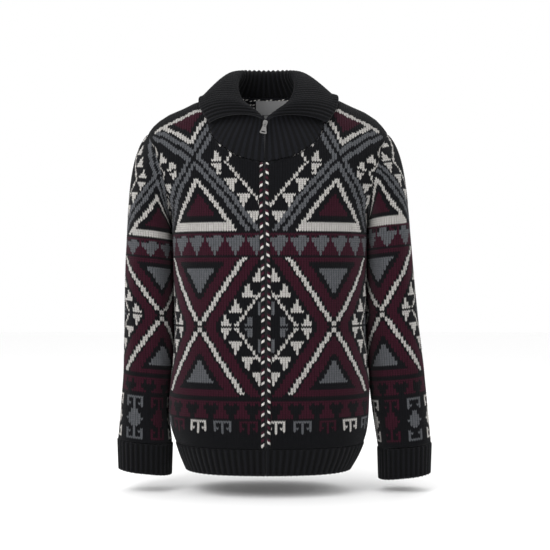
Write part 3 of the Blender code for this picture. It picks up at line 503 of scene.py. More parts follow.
# %% A mesh piece
def add_mesh(name, vertices, faces, colours=None, places=None, smooth=True):
    """Mesh object; colours and places hold one row for each corner of each face."""
    mesh = bpy.data.meshes.new(name)
    mesh.from_pydata(vertices, [], faces)
    if colours is not None:
        # the colour of the yarn, with the light and shade painted on each leg of a stitch
        layer = mesh.attributes.new("yarn_with_painted_shading", "FLOAT_COLOR", "CORNER")
        layer.data.foreach_set("color", np.asarray(colours, np.float32).ravel())
    if places is not None:
        layer = mesh.uv_layers.new(name="stitches")
        layer.data.foreach_set("uv", np.asarray(places, np.float32).ravel())
    mesh.polygons.foreach_set("use_smooth", [smooth] * len(mesh.polygons))
    mesh.update()
    piece = bpy.data.objects.new(name, mesh)
    bpy.context.scene.collection.objects.link(piece)
    return piece


# %% [markdown]
# The inner face needs no relief, so away from the rim four legs share one flat face there. That
# leaves it under a third of its triangles, and the edge of the cloth stays as it was knitted.

# %% Knit a piece
SINK = 0.0004            # how far a leg's ends lie under the cloth's surface
LEAST_LEG = 0.05         # a leg cut smaller than this share of a whole one is dropped
TINT = 0.10              # how much the yarn's colour varies from stitch to stitch


def inner_rings(ids, cells, whole, rim):
    """Rings of the cloth's inner face, and the leg that each lies behind."""
    good = np.zeros(cells.shape, bool)
    good[cells >= 0] = whole
    free = ~np.isin(ids, rim)
    high, wide = cells.shape[0] // 2, cells.shape[1] // 2
    blocks = good[:2 * high, :2 * wide].reshape(high, 2, wide, 2).all(axis=(1, 3))
    for up in range(3):
        for along in range(3):
            blocks &= free[up:up + 2 * high - 1:2, along:along + 2 * wide - 1:2]
    joined = np.zeros((high + 2, wide + 2), bool)
    joined[1:-1, 1:-1] = blocks
    rings, legs = [], []
    for r, c in np.argwhere(blocks).tolist():
        ring = []
        for cy, cx, my, mx, ny, nx in (
            (0, 0, 0, 1, 0, 1), (0, 2, 1, 2, 1, 2), (2, 2, 2, 1, 2, 1), (2, 0, 1, 0, 1, 0),
        ):
            ring.append(ids[2 * r + cy, 2 * c + cx])
            if not joined[r + ny, c + nx]:
                ring.append(ids[2 * r + my, 2 * c + mx])
        rings.append(ring)
        legs.append(cells[2 * r, 2 * c])
        good[2 * r:2 * r + 2, 2 * c:2 * c + 2] = False
    for y, x in np.argwhere(good).tolist():
        rings.append([ids[y, x], ids[y, x + 1], ids[y + 1, x + 1], ids[y + 1, x]])
        legs.append(cells[y, x])
    return rings, legs


def knit(name, outer, normals, wall, yarns, lift=LEG_LIFT, light=None):
    """Closed cloth of stitches on a grid of half-stitch columns; yarns has one number a stitch."""
    flat = (outer - normals * SINK).reshape(-1, 3)
    _, first, ids = np.unique(np.round(flat, 5), axis=0, return_index=True, return_inverse=True)
    ids = ids.reshape(outer.shape[:2])
    ends = flat[first]
    ends_out = normals.reshape(-1, 3)[first]
    corners = np.stack([ids[:-1, :-1], ids[:-1, 1:], ids[1:, 1:], ids[1:, :-1]], axis=2)
    spots = ends[corners]
    diagonals = np.cross(spots[:, :, 2] - spots[:, :, 0], spots[:, :, 3] - spots[:, :, 1])
    size = np.linalg.norm(diagonals, axis=2) / 2.0
    full = np.median(size)
    keep = size > LEAST_LEG * full
    corners = corners[keep]
    shared = ends_out[corners].mean(axis=1)
    height = lift * np.minimum(1.0, size[keep] / full)
    tops = outer.reshape(-1, 3)[first][corners].mean(axis=1) + unit(shared) * height[:, None]
    row_of, line_of = np.nonzero(keep)
    tint = 1.0 + TINT * (luck.random(yarns.shape) - 0.5)
    stitch = np.minimum(line_of // 2, yarns.shape[1] - 1)
    colour = YARN_COLOURS[yarns[row_of, stitch]] * tint[row_of, stitch][:, None]
    # painted light and shade, one factor for each line of half-stitch columns, as across a rib
    if light is not None:
        colour = colour * light[line_of][:, None]
    colour = np.concatenate([colour, np.ones((len(colour), 1))], axis=1)
    place = np.stack([line_of / 2.0, row_of.astype(float)], axis=1)
    steps = np.array([(0.0, 0.0), (0.5, 0.0), (0.5, 1.0), (0.0, 1.0)])
    turn = -1 if np.sum(diagonals[keep] * shared, axis=1).mean() < 0 else 1
    total = len(ends)
    vertices = np.concatenate([ends, ends - ends_out * (wall - SINK), tops])
    # painted shade on the ends of each leg, darkest in the furrow between columns, and a painted
    # highlight on its raised middle
    furrow = (line_of[:, None] + np.array([0, 1, 1, 0])) % 2 == 0
    ends_light = np.where(furrow, EDGE_LIGHT, MIDDLE_LIGHT)
    tops_light = np.full(len(corners), TOP_LIGHT)
    top = 2 * total + np.arange(len(corners))
    faces, tints, places = [], [], []
    edges = {}
    for n in range(4):
        after = (n + 1) % 4
        real = corners[:, n] != corners[:, after]
        ring = np.stack([corners[:, n], corners[:, after], top], axis=1)[real]
        spot = np.stack([place + steps[n], place + steps[after], place + (0.25, 0.5)], axis=1)[real]
        shade = np.stack([ends_light[:, n], ends_light[:, after], tops_light], axis=1)[real]
        faces += ring[:, ::turn].tolist()
        places.append(spot[:, ::turn].reshape(-1, 2))
        tints.append((colour[real][:, None, :] * shade[:, :, None])[:, ::turn].reshape(-1, 4))
        for x, y in ring[:, :2].tolist():
            if (y, x) in edges:
                del edges[(y, x)]
            else:
                edges[(x, y)] = len(edges)
    whole = np.array([len(set(ring)) == 4 for ring in corners.tolist()])
    cells = np.full(keep.shape, -1)
    cells[keep] = np.arange(len(corners))
    rings, legs = inner_rings(ids, cells, whole, np.unique(list(edges)))
    for n in np.nonzero(~whole)[0]:
        ring = list(dict.fromkeys(corners[n].tolist()))
        if len(ring) >= 3:
            rings.append(ring)
            legs.append(n)
    for ring, leg in zip(rings, legs):
        faces.append([corner + total for corner in ring][::-turn])
        tints.append(np.repeat(colour[leg:leg + 1], len(ring), axis=0))
        places.append(np.repeat(place[leg:leg + 1], len(ring), axis=0))
    faces += [(b, a, a + total, b + total)[::turn] for a, b in edges]
    tints.append(np.tile([*(YARN_COLOURS[INK] * 1.2), 1.0], (4 * len(edges), 1)))
    places.append(np.zeros((4 * len(edges), 2)))
    used = np.unique(np.concatenate([np.ravel(ring) for ring in faces]))
    renumber = np.full(len(vertices), -1)
    renumber[used] = np.arange(len(used))
    faces = [renumber[list(ring)].tolist() for ring in faces]
    print(name, len(corners) // 2, "stitches,", sum(len(ring) - 2 for ring in faces), "triangles")
    return add_mesh(name, vertices[used].tolist(), faces, np.concatenate(tints), np.concatenate(places))


# %% [markdown]
# Wool scatters light in its loose fibres, so it never shines: its roughness is close to one, and a
# faint sheen stands for the halo of fibre ends. The plies that twist round each other in a leg are
# about 1 mm thick, and loose fibre gives the colour a fine speckle.

# %% Wool
def plug(tree, node, links):
    """Sets a node's inputs, by name or number, to other nodes' outputs or to plain values."""
    for key, value in links.items():
        if isinstance(value, bpy.types.NodeSocket):
            tree.links.new(value, node.inputs[key])
        else:
            node.inputs[key].default_value = value


def add_node(tree, kind, links=None, **settings):
    """One node with its settings and its inputs."""
    node = tree.nodes.new(kind)
    for key, value in settings.items():
        setattr(node, key, value)
    plug(tree, node, links or {})
    return node


def new_finish(name):
    """Empty material with its shader, ready for nodes."""
    finish = bpy.data.materials.new(name)
    finish.use_nodes = True
    return finish, finish.node_tree, finish.node_tree.nodes["Principled BSDF"]


WOOL_ROUGHNESS = 0.95
PLY_PER_STITCH = 2.6     # twisted plies that cross one leg


def wool(name):
    """Twisted wool yarn whose colour comes from the stitch that it is knitted into, with the light and
    shade painted on each leg.
    """
    finish, tree, shader = new_finish(name)
    # the stitch's yarn colour, with its painted highlights and painted shade
    dye_and_painted_shading = add_node(tree, "ShaderNodeAttribute", attribute_name="yarn_with_painted_shading")
    stitches = add_node(tree, "ShaderNodeUVMap", uv_map="stitches")
    solid = add_node(tree, "ShaderNodeTexCoord")
    ply = add_node(tree, "ShaderNodeTexWave", {
        "Vector": stitches.outputs["UV"], "Scale": PLY_PER_STITCH, "Distortion": 1.5, "Detail": 1.0,
    }, wave_type="BANDS", bands_direction="DIAGONAL")
    fibre = add_node(tree, "ShaderNodeTexNoise", {
        "Vector": solid.outputs["Object"], "Scale": 1400.0, "Detail": 2.0, "Roughness": 0.6,
    })
    patch = add_node(tree, "ShaderNodeTexNoise", {
        "Vector": solid.outputs["Object"], "Scale": 260.0, "Detail": 2.0,
    })
    speckle, shade = (
        add_node(tree, "ShaderNodeMapRange", {
            "Value": noise.outputs["Fac"], "From Min": 0.3, "From Max": 0.7,
            "To Min": dark, "To Max": pale,
        })
        for noise, dark, pale in ((fibre, 0.72, 1.3), (patch, 0.85, 1.15))
    )
    both = add_node(tree, "ShaderNodeMath", {
        0: speckle.outputs[0], 1: shade.outputs[0],
    }, operation="MULTIPLY")
    tinted = add_node(tree, "ShaderNodeVectorMath", {
        0: dye_and_painted_shading.outputs["Color"], "Scale": both.outputs[0],
    }, operation="SCALE")
    relief = add_node(tree, "ShaderNodeMath", {
        0: ply.outputs["Fac"], 1: fibre.outputs["Fac"],
    }, operation="ADD")
    bump = add_node(tree, "ShaderNodeBump", {
        "Height": relief.outputs[0], "Strength": 0.5, "Distance": 0.0005,
    })
    plug(tree, shader, {
        "Base Color": tinted.outputs[0], "Normal": bump.outputs[0], "Roughness": WOOL_ROUGHNESS,
        "IOR": 1.54, "Specular IOR Level": 0.12, "Sheen Weight": 0.04, "Sheen Roughness": 0.5,
    })
    return finish


jacquard_wool = wool("jacquard_wool")
rib_wool = wool("rib_wool")
marled_wool = wool("marled_wool")
print("each leg of a stitch shows", PLY_PER_STITCH, "twisted plies")

# %% [markdown]
# The slider and pull are zinc castings plated with satin nickel. Nickel is a warm pale grey metal;
# the satin comes from fine tumbling marks, which spread its highlight, and edges rub brighter.

# %% Metal, tape and labels
def satin_nickel():
    """Tumbled nickel plate over cast zinc."""
    finish, tree, shader = new_finish("satin_nickel_plate")
    solid = add_node(tree, "ShaderNodeTexCoord")
    marks = add_node(tree, "ShaderNodeTexNoise", {
        "Vector": solid.outputs["Object"], "Scale": 2600.0, "Detail": 2.0,
    })
    dull = add_node(tree, "ShaderNodeMapRange", {
        "Value": marks.outputs["Fac"], "To Min": 0.26, "To Max": 0.46,
    })
    bump = add_node(tree, "ShaderNodeBump", {
        "Height": marks.outputs["Fac"], "Strength": 0.15, "Distance": 0.0001,
    })
    plug(tree, shader, {
        "Roughness": dull.outputs[0], "Normal": bump.outputs[0],
        "Base Color": (*linear("#7e7d7c"), 1.0), "Metallic": 1.0,
    })
    return finish


WAVE_PERIOD = 20.0 / (2.0 * math.pi)     # metres from band to band of a Wave texture at scale 1


def woven_ribbon(name, colour, thread, roughness):
    """Ribbon of crossing threads; thread is their spacing in metres."""
    finish, tree, shader = new_finish(name)
    solid = add_node(tree, "ShaderNodeTexCoord")
    warp, weft = (
        add_node(tree, "ShaderNodeTexWave", {
            "Vector": solid.outputs["Object"], "Scale": 1.0 / thread / WAVE_PERIOD, "Distortion": 0.4,
        }, wave_type="BANDS", bands_direction=axis)
        for axis in ("X", "Z")
    )
    weave = add_node(tree, "ShaderNodeMath", {
        0: warp.outputs["Fac"], 1: weft.outputs["Fac"],
    }, operation="MULTIPLY")
    shade = add_node(tree, "ShaderNodeMapRange", {
        "Value": weave.outputs[0], "To Min": 0.8, "To Max": 1.1,
    })
    tinted = add_node(tree, "ShaderNodeVectorMath", {
        0: linear(colour), "Scale": shade.outputs[0],
    }, operation="SCALE")
    bump = add_node(tree, "ShaderNodeBump", {
        "Height": weave.outputs[0], "Strength": 0.4, "Distance": 0.0002,
    })
    plug(tree, shader, {
        "Base Color": tinted.outputs[0], "Normal": bump.outputs[0], "Roughness": roughness,
    })
    return finish


nickel = satin_nickel()
polyester_tape = woven_ribbon("woven_polyester_tape", "#1d1d20", 0.0008, 0.75)
satin_label = woven_ribbon("woven_satin_label", "#a3a3a4", 0.0006, 0.45)
print("finishes:", [finish.name for finish in bpy.data.materials])

# %% [markdown]
# Heavy knitwear has few creases, and they are wide and shallow. They run where the cloth is pulled or
# pushed together: from the armpit towards the chest, across the inside of the elbow, and in the slack
# above a drawn-in rib. Each is given one by one with its own length and depth, and the sides that the
# photo doesn't show get similar ones.

# %% Creases
def crease(points, normals, start, end, deep, wide):
    """Soft groove between two places, with a low swell on both sides of it."""
    start = np.asarray(start, float)
    end = np.asarray(end, float)
    line = end - start
    share = np.clip((points - start) @ line / np.dot(line, line), 0.0, 1.0)
    away = np.linalg.norm(points - start - share[..., None] * line, axis=-1) / wide
    fade = np.sin(np.pi * np.clip(share, 0.04, 0.96)) ** 0.7
    shape = (1.0 - 1.4 * away ** 2) * np.exp(-away ** 2)
    return points - normals * (deep * fade * shape)[..., None]


BODY_CREASES = {
    "right": (
        ((-0.168, -0.060, -0.235), (-0.095, -0.118, -0.330), 0.0032, 0.016),
        ((-0.172, -0.045, -0.290), (-0.125, -0.108, -0.420), 0.0022, 0.019),
        ((-0.150, -0.090, -0.585), (-0.060, -0.128, -0.625), 0.0024, 0.013),
        ((-0.172, 0.050, -0.240), (-0.090, 0.120, -0.345), 0.0035, 0.018),
        ((-0.165, 0.070, -0.330), (-0.110, 0.114, -0.470), 0.0024, 0.020),
        ((-0.150, 0.090, -0.575), (-0.050, 0.127, -0.618), 0.0030, 0.014),
    ),
    "left": (
        ((0.176, -0.060, -0.240), (0.105, -0.117, -0.345), 0.0030, 0.017),
        ((0.182, -0.045, -0.310), (0.130, -0.108, -0.455), 0.0024, 0.018),
        ((0.165, -0.085, -0.580), (0.070, -0.127, -0.622), 0.0026, 0.014),
        ((0.178, 0.055, -0.238), (0.100, 0.119, -0.330), 0.0032, 0.017),
        ((0.176, 0.068, -0.350), (0.120, 0.113, -0.500), 0.0026, 0.022),
        ((0.165, 0.085, -0.585), (0.075, 0.126, -0.622), 0.0026, 0.013),
    ),
}
SLEEVE_CREASES = {
    "right": (
        ((-0.200, -0.060, -0.225), (-0.252, -0.052, -0.300), 0.0028, 0.014),
        ((-0.180, -0.030, -0.400), (-0.255, -0.030, -0.372), 0.0026, 0.013),
        ((-0.184, -0.035, -0.452), (-0.262, -0.020, -0.470), 0.0034, 0.014),
        ((-0.190, -0.030, -0.560), (-0.266, -0.030, -0.545), 0.0024, 0.012),
        ((-0.190, -0.035, -0.602), (-0.255, -0.040, -0.620), 0.0028, 0.010),
        ((-0.200, 0.070, -0.230), (-0.250, 0.068, -0.310), 0.0030, 0.015),
        ((-0.182, 0.055, -0.430), (-0.255, 0.060, -0.455), 0.0032, 0.015),
        ((-0.190, 0.046, -0.585), (-0.262, 0.040, -0.602), 0.0028, 0.012),
    ),
    "left": (
        ((0.208, -0.062, -0.230), (0.262, -0.052, -0.315), 0.0030, 0.015),
        ((0.196, -0.035, -0.425), (0.270, -0.030, -0.398), 0.0030, 0.014),
        ((0.202, -0.030, -0.478), (0.284, -0.022, -0.500), 0.0026, 0.012),
        ((0.215, -0.030, -0.572), (0.290, -0.030, -0.560), 0.0026, 0.012),
        ((0.222, -0.036, -0.618), (0.286, -0.038, -0.632), 0.0024, 0.010),
        ((0.208, 0.072, -0.235), (0.262, 0.066, -0.325), 0.0032, 0.016),
        ((0.196, 0.056, -0.440), (0.276, 0.058, -0.468), 0.0030, 0.014),
        ((0.218, 0.046, -0.592), (0.288, 0.040, -0.606), 0.0028, 0.012),
    ),
}
print("creases on the body:", sum(len(side) for side in BODY_CREASES.values()))

# %% [markdown]
# A row of knitting runs level round the body, and the panel is shaped by dropping stitches at its
# edges. So a stitch's column is its distance from the zip, and its row is its height. Over the
# shoulder the cloth turns from upright to level, and there the height is counted along the curve.

# %% Front and back panels
SHOULDER_DEPTH = 0.100   # how far forward and back the shoulder's curve reaches


def cloth_height(points, side):
    """Height above the hem seam, counted along the cloth where it rounds over the shoulder."""
    crest = ridge_z(points[..., 0], side)
    start = crest - SHOULDER_ROLL
    turn = np.arcsin(np.clip((points[..., 2] - start) / SHOULDER_ROLL, 0.0, 1.0))
    angle = np.linspace(0.0, math.pi / 2.0, 200)
    speed = np.hypot(SHOULDER_ROLL * np.cos(angle), SHOULDER_DEPTH * np.sin(angle))
    length = np.concatenate([[0.0], np.cumsum((speed[1:] + speed[:-1]) / 2.0 * np.diff(angle))])
    return np.minimum(points[..., 2], start) + np.interp(turn, angle, length) - HEM_SEAM_Z


def panel_surface(side, face):
    """Dense surface of half a panel, with its distances across and up the cloth."""
    rows = np.concatenate([np.linspace(0.0, 1.0, 70)[:-1], np.linspace(1.0, 2.0, 110)])
    points = np.array([panel_row(side, face, row) for row in rows])
    forward = np.array([0.0, -1.0 if face == "front" else 1.0, 0.0])
    normals = with_normals(points, forward)
    for row, place in enumerate(rows):
        if place <= 1.0:
            normals[row, -1] = (SIDES[side], 0.0, 0.0)
    for start, end, deep, wide in BODY_CREASES[side]:
        points = crease(points, normals, start, end, deep, wide)
    up = cloth_height(points, side)
    across = run_along(points) + np.abs(points[:, :1, 0])
    return points, normals, across, up


YOKE_START = 0.446       # height up the cloth where the shoulder's shaping starts
YOKE_LEAN = 0.14         # above it the columns lean outwards
YOKE_DROOP = 0.48        # and beyond DROOP_START the rows fall towards the armhole
DROOP_START = 0.125


def chart_place(wide, tall):
    """Column and row of the chart for stitches at a width and height on the cloth."""
    above = np.maximum(tall - YOKE_START, 0.0)[:, None]
    out = YOKE_LEAN * above
    down = YOKE_DROOP * np.maximum(wide - DROOP_START, 0.0)[None, :] * ease(above / 0.080)
    column = np.round(wide[None, :] / STITCH) - out / STITCH
    return column, np.round(tall[:, None] / ROW) + down / ROW


def knit_panel(side, face):
    """Grids of one half panel: places, directions and yarns."""
    points, normals, across, up = panel_surface(side, face)
    start = across[:, 0].min() if face == "front" else 0.0
    columns = int(math.ceil((across.max() - start) / STITCH))
    rows = int(math.ceil(up.max() / ROW))
    wide = start + np.arange(2 * columns + 1) * STITCH / 2.0
    tall = np.arange(rows + 1) * ROW
    outer, out = resample(points, normals, across, up, wide, tall)
    place, row = chart_place(wide[:-1:2], tall[:-1])
    if SIDES[side] < 0:
        place = -place - 1.0
    return outer, out, chart_grid(place, row, BODY_HORNS)


def main_cloth():
    """The two fronts and the back."""
    made = {}
    for side in SIDES:
        outer, out, yarns = knit_panel(side, "front")
        made["front_" + side] = knit("cloth_front_" + side, outer, out, WALL, yarns)
    halves = {side: knit_panel(side, "back") for side in SIDES}
    rows = min(len(halves["left"][0]), len(halves["right"][0]))
    right, right_out, right_yarns = (part[:, ::-1] for part in halves["right"])
    left, left_out, left_yarns = halves["left"]
    outer = np.concatenate([right[:rows], left[:rows, 1:]], axis=1)
    out = np.concatenate([right_out[:rows], left_out[:rows, 1:]], axis=1)
    yarns = np.concatenate([right_yarns[:rows - 1], left_yarns[:rows - 1]], axis=1)
    made["back"] = knit("cloth_back", outer, out, WALL, yarns)
    return made


cloth = main_cloth()

# %% [markdown]
# A sleeve is one piece, knitted from the cuff up and closed by a seam under the arm, so its rows
# are counted from the cuff and its columns from the line along its outer side.

# %% Sleeves
def sleeve_ring(side, z, turns, draw=1.0, tilt=0.0):
    """Ring of a sleeve at one height; turn 0 is its outer side and 90 its front."""
    table = SLEEVE[side]
    at = max(z, table["z"][-1])
    inner, outer, depth, y = (float(curve(table, c, at)) for c in ("inner", "outer", "depth", "y"))
    half = (outer - inner) / 2.0 * draw
    cos = np.cos(np.radians(turns))
    sin = np.sin(np.radians(turns))
    power = 2.0 / SLEEVE_POWER
    x = (outer + inner) / 2.0 + half * np.sign(cos) * np.abs(cos) ** power
    return np.stack([
        SIDES[side] * x, y - depth * draw * np.sign(sin) * np.abs(sin) ** power, z + tilt * cos,
    ], axis=1)


def join_ends(normals):
    """Gives both edges of a rolled-up piece one direction, so that the seam between them is smooth."""
    shared = unit(normals[:, 0] + normals[:, -1])
    normals[:, 0] = shared
    normals[:, -1] = shared


def sleeve_surface(side):
    """Dense surface of a sleeve from its cuff seam up to the armhole, opened under the arm."""
    turns = np.linspace(-180.0, 180.0, 241)
    table = SLEEVE[side]
    top_z, bottom = table["z"][0], table["z"][-1]
    rings = []
    for z in np.linspace(bottom, top_z, 110)[:-1]:
        low = (top_z - z) / (top_z - bottom)
        rings.append(sleeve_ring(side, z, turns, tilt=CUFF_TILT * 0.5 * low))
    seam = np.array([armhole_point(side, turn) for turn in turns])
    seam = seam + unit(np.array([SIDES[side] * 0.80, 0.0, -0.60])) * SEAM_GAP
    first = sleeve_ring(side, top_z, turns)
    second = sleeve_ring(side, top_z - 0.010, turns)
    span = np.linalg.norm(first - seam, axis=1, keepdims=True)
    leave = unit(np.array([SIDES[side] * 0.72, 0.0, -0.69])) * span * 0.75
    arrive = unit(second - first) * span * 0.95
    for s in np.linspace(1.0, 0.0, 60):
        point = (1 + 2 * s) * (1 - s) ** 2 * seam + s * (1 - s) ** 2 * leave
        rings.append(point + s * s * (3 - 2 * s) * first + s * s * (s - 1) * arrive)
    points = np.array(rings)
    middle = points.mean(axis=1, keepdims=True)
    normals = with_normals(points, points - middle)
    join_ends(normals)
    for start, end, deep, wide in SLEEVE_CREASES[side]:
        points = crease(points, normals, start, end, deep, wide)
    up = run_along(points, axis=0)
    across = run_along(points)
    across = across - across[:, 120:121]
    return points, normals, across, up


# Row of the crossing, chart rows to a knitted row below and above it, and chart columns to a
# knitted column, low and high on the sleeve.
SLEEVE_CHART = {
    "right": (60.0, 1.115, 1.20, 1.04, 0.96),
    "left": (64.0, 1.030, 1.07, 1.08, 0.91),
}


def sleeve_place(side, columns, rows):
    """Columns and rows of the chart; a sleeve's pattern is a little shorter than the body's."""
    cross, below, above, low, high = SLEEVE_CHART[side]
    away = np.arange(rows) - cross
    row = CROSS_ROW + away * np.where(away < 0, below, above)
    hearts = cross - (CROSS_ROW - 14.0) / below
    row = np.where(row < 14.0, 14.0 + np.arange(rows) - hearts, row)
    across = np.interp(row, (CROSS_ROW, YOKE_ROW - 25.0), (low, high))
    return columns[None, :] * across[:, None], row[:, None]


def knit_sleeve(side):
    """A sleeve's stitches, with the horned motifs whole above the cuff."""
    points, normals, across, up = sleeve_surface(side)
    columns = int(math.ceil(across.max() / STITCH))
    rows = int(math.ceil(up.max() / ROW))
    wide = np.arange(-2 * columns, 2 * columns + 1) * STITCH / 2.0
    outer, out = resample(points, normals, across, up, wide, np.arange(rows + 1) * ROW)
    yarns = chart_grid(*sleeve_place(side, np.arange(-columns, columns), rows), SLEEVE_HORNS)
    return knit("cloth_sleeve_" + side, outer, out, WALL, yarns)


for side in ("right", "left"):
    cloth["sleeve_" + side] = knit_sleeve(side)

# %% [markdown]
# Ribs are knitted by turning every other column round, so plain columns stand forward and the purl
# columns between them fall back and almost vanish. The rib draws in like a spring, which makes the hem,
# cuffs and collar narrower and stiffer than the panels. The same stitches are used, with each line of the
# grid raised by where it lies in the rib, and with painted light on the columns that stand forward and
# painted shade on those that fall back.

# %% Ribs
RIB_RISE = 0.0030        # how far a rib's crest stands above the furrow beside it
RIB_PROFILE = (0.50, 1.0, 0.50, 0.0)
RIB_LIFT = 0.0006
RIB_LIGHT = (1.10, 1.10, 0.35, 0.35)    # painted light on the two legs of a rib that stand forward, painted shade on the two that fall back
FRONT_HEM_RIBS = 21
BACK_HEM_RIBS = 42
CUFF_RIBS = 34
COLLAR_RIBS = 60


def rib(name, points, normals, ribs, tall, wall=RIB_WALL, rise=RIB_RISE, shape=None):
    """Knits a ribbed piece over a dense surface whose rows run across its ribs."""
    across = run_along(points)
    across = across / across[:, -1:]
    up = run_along(points, axis=0)
    up = up / up[-1:]
    rows = int(round(tall / ROW))
    lines = np.linspace(0.0, 1.0, 4 * ribs + 1)
    climb = LEG_SLANT / rows
    outer, out = resample(points, normals, across, up, lines, np.arange(rows + 1) / rows, climb)
    raised = np.array([RIB_PROFILE[k % 4] for k in range(len(lines))]) * rise
    raised = np.tile(raised, (rows + 1, 1))
    if shape is not None:
        raised = raised * shape(np.arange(rows + 1) / rows)[:, None]
    outer = outer + out * raised[:, :, None]
    yarns = np.full((rows, 2 * ribs), INK)
    # painted light on the legs that stand forward, painted shade on those that fall back
    rib_painted_light_and_shade = np.tile(RIB_LIGHT, ribs)
    return knit(name, outer, out, wall, yarns, lift=RIB_LIFT, light=rib_painted_light_and_shade)


def hem_ring(side, face, z, start, count=121):
    """Half ring of the body at one height, from the middle of the front or back to the side."""
    half_width = float(curve(SIDE, side, z))
    x = np.linspace(start, half_width, 4 * count)
    y = float(curve(DEPTH, face, z)) * wrap(x, half_width)
    run = np.concatenate([[0.0], np.cumsum(np.hypot(np.diff(x), np.diff(y)))])
    share = np.linspace(0.0, run[-1], count)
    forward = -1.0 if face == "front" else 1.0
    return np.stack([
        SIDES[side] * np.interp(share, run, x),
        forward * (np.interp(share, run, y) + SEAM_GAP / 2.0),
        np.full(count, z),
    ], axis=1)


def welt(name, rows, forward, ends, ribs):
    """Knits one piece of the welt from its rings; ends are its columns on a side seam."""
    points = np.array(rows)
    normals = with_normals(points, np.array([0.0, forward, 0.0]))
    normals[:, :, 2] = 0.0
    normals[:, ends, 1] = 0.0
    return rib("rib_" + name, points, unit(normals), ribs, HEM_SEAM_Z - HEM_Z)


def hem():
    """The welt in its three pieces."""
    heights = np.linspace(HEM_Z, HEM_SEAM_Z - SEAM_GAP, 24)
    made = {}
    for side in SIDES:
        rows = [hem_ring(side, "front", z, CORE_GAP) for z in heights]
        for row, z in zip(rows, heights):
            row[:, 0] += ease(1.0 - np.abs(row[:, 0]) / ZIP_REACH) * centre_x(z)
        name = "hem_front_" + side
        made[name] = welt(name, rows, -1.0, -1, FRONT_HEM_RIBS)
    rows = [
        np.concatenate([hem_ring("right", "back", z, 0.0)[::-1], hem_ring("left", "back", z, 0.0)[1:]])
        for z in heights
    ]
    made["hem_back"] = welt("hem_back", rows, 1.0, (0, -1), BACK_HEM_RIBS)
    return made


def cuff(side):
    """One cuff, which tapers a little to its mouth."""
    turns = np.linspace(-180.0, 180.0, 241)
    top = SLEEVE[side]["z"][-1] - SEAM_GAP
    rows = []
    for s in np.linspace(1.0, 0.0, 24):
        draw = 1.0 + (CUFF_DRAW - 1.0) * s
        tilt = CUFF_TILT * 0.5 * (1.0 + 0.2 * s)
        rows.append(sleeve_ring(side, top - CUFF_DEPTH * s, turns, draw=draw, tilt=tilt))
    points = np.array(rows)
    normals = with_normals(points, points - points.mean(axis=1, keepdims=True))
    normals[:, :, 2] = 0.0
    join_ends(normals)
    return rib("rib_cuff_" + side, points, unit(normals), CUFF_RIBS, CUFF_DEPTH)


ribs = hem()
for side in SIDES:
    ribs["cuff_" + side] = cuff(side)

# %% [markdown]
# The collar is one long ribbed band. It is sewn to the neck, stands up inside, rolls over and
# falls outwards on the shoulders, so the face that touches the neck is the one that shows on the
# leaf. Each rib line is drawn as two smooth arcs, one up the stand and one down the leaf.

# %% Collar
COLLAR = {
    "step": (0.00, 0.12, 0.24, 0.36, 0.48, 0.60, 0.72, 0.86, 1.00),
    "roll_x": (0.0010, 0.0200, 0.0390, 0.0500, 0.0560, 0.0575, 0.0540, 0.0340, 0.0),
    "roll_y": (-0.113, -0.109, -0.096, -0.078, -0.048, -0.005, 0.032, 0.065, 0.078),
    "roll_z": (-0.060, -0.043, -0.027, -0.011, 0.010, 0.034, 0.049, 0.057, 0.059),
    "edge_x": (0.1055, 0.1130, 0.1200, 0.1260, 0.1290, 0.1270, 0.1170, 0.0750, 0.0),
    "edge_y": (-0.090, -0.079, -0.065, -0.046, -0.022, 0.010, 0.046, 0.094, 0.118),
    "edge_z": (-0.060, -0.050, -0.037, -0.026, -0.015, -0.007, -0.002, 0.002, 0.004),
}
COLLAR_ROLL = 0.014      # how wide the roll at the top of the collar is
COLLAR_SHIFT = 0.004     # the leaf lies a little to the wearer's left
LEAF_CLEARANCE = 0.0052  # room between the leaf's middle and the shoulders
YOKE_HALF = 0.250        # half width of the oval that the body makes at the collar
ZIP_PART = 0.15          # share of the collar's half that the zip holds upright
FRONT_PART = 0.45        # share of it that lies over the chest
UP = np.array([0.0, 0.0, 1.0])
FORWARD = np.array([0.0, -1.0, 0.0])


def neck_out(point):
    """Direction through the cloth at the neck seam."""
    around = unit(np.array([point[0], point[1] + 0.010, 0.0]))
    rise = 0.15 + 0.85 * float(ease((point[1] + 0.105) / 0.080))
    rise = rise - 0.55 * float(ease(point[1] / 0.070))
    return unit(around + rise * UP)


def neck_seam(side):
    """Neck seam of one half, from the zip to the middle of the back, and its share of the way."""
    rows = np.linspace(1.0 + ZIP_SHARE, 2.0, 60)
    front = np.array([panel_row(side, "front", row, 41)[0] for row in rows])
    start = front[0].copy()
    start[0] = SIDES[side] * CORE_GAP + float(centre_x(start[2]))
    top = panel_row(side, "back", 2.0, 801)
    top = top[np.abs(top[:, 0]) <= NECK_HALF][::-6]
    points = np.concatenate([[start], front, top])
    outs = np.array([neck_out(front[0])] + [neck_out(p) for p in points[1:]])
    run = run_along(points[None])[0]
    run = run / run[-1]
    corner = len(front)
    at_neck = round(run[corner] * COLLAR_RIBS) / COLLAR_RIBS
    return points, outs, np.interp(run, (0.0, run[corner], 1.0), (0.0, at_neck, 1.0))


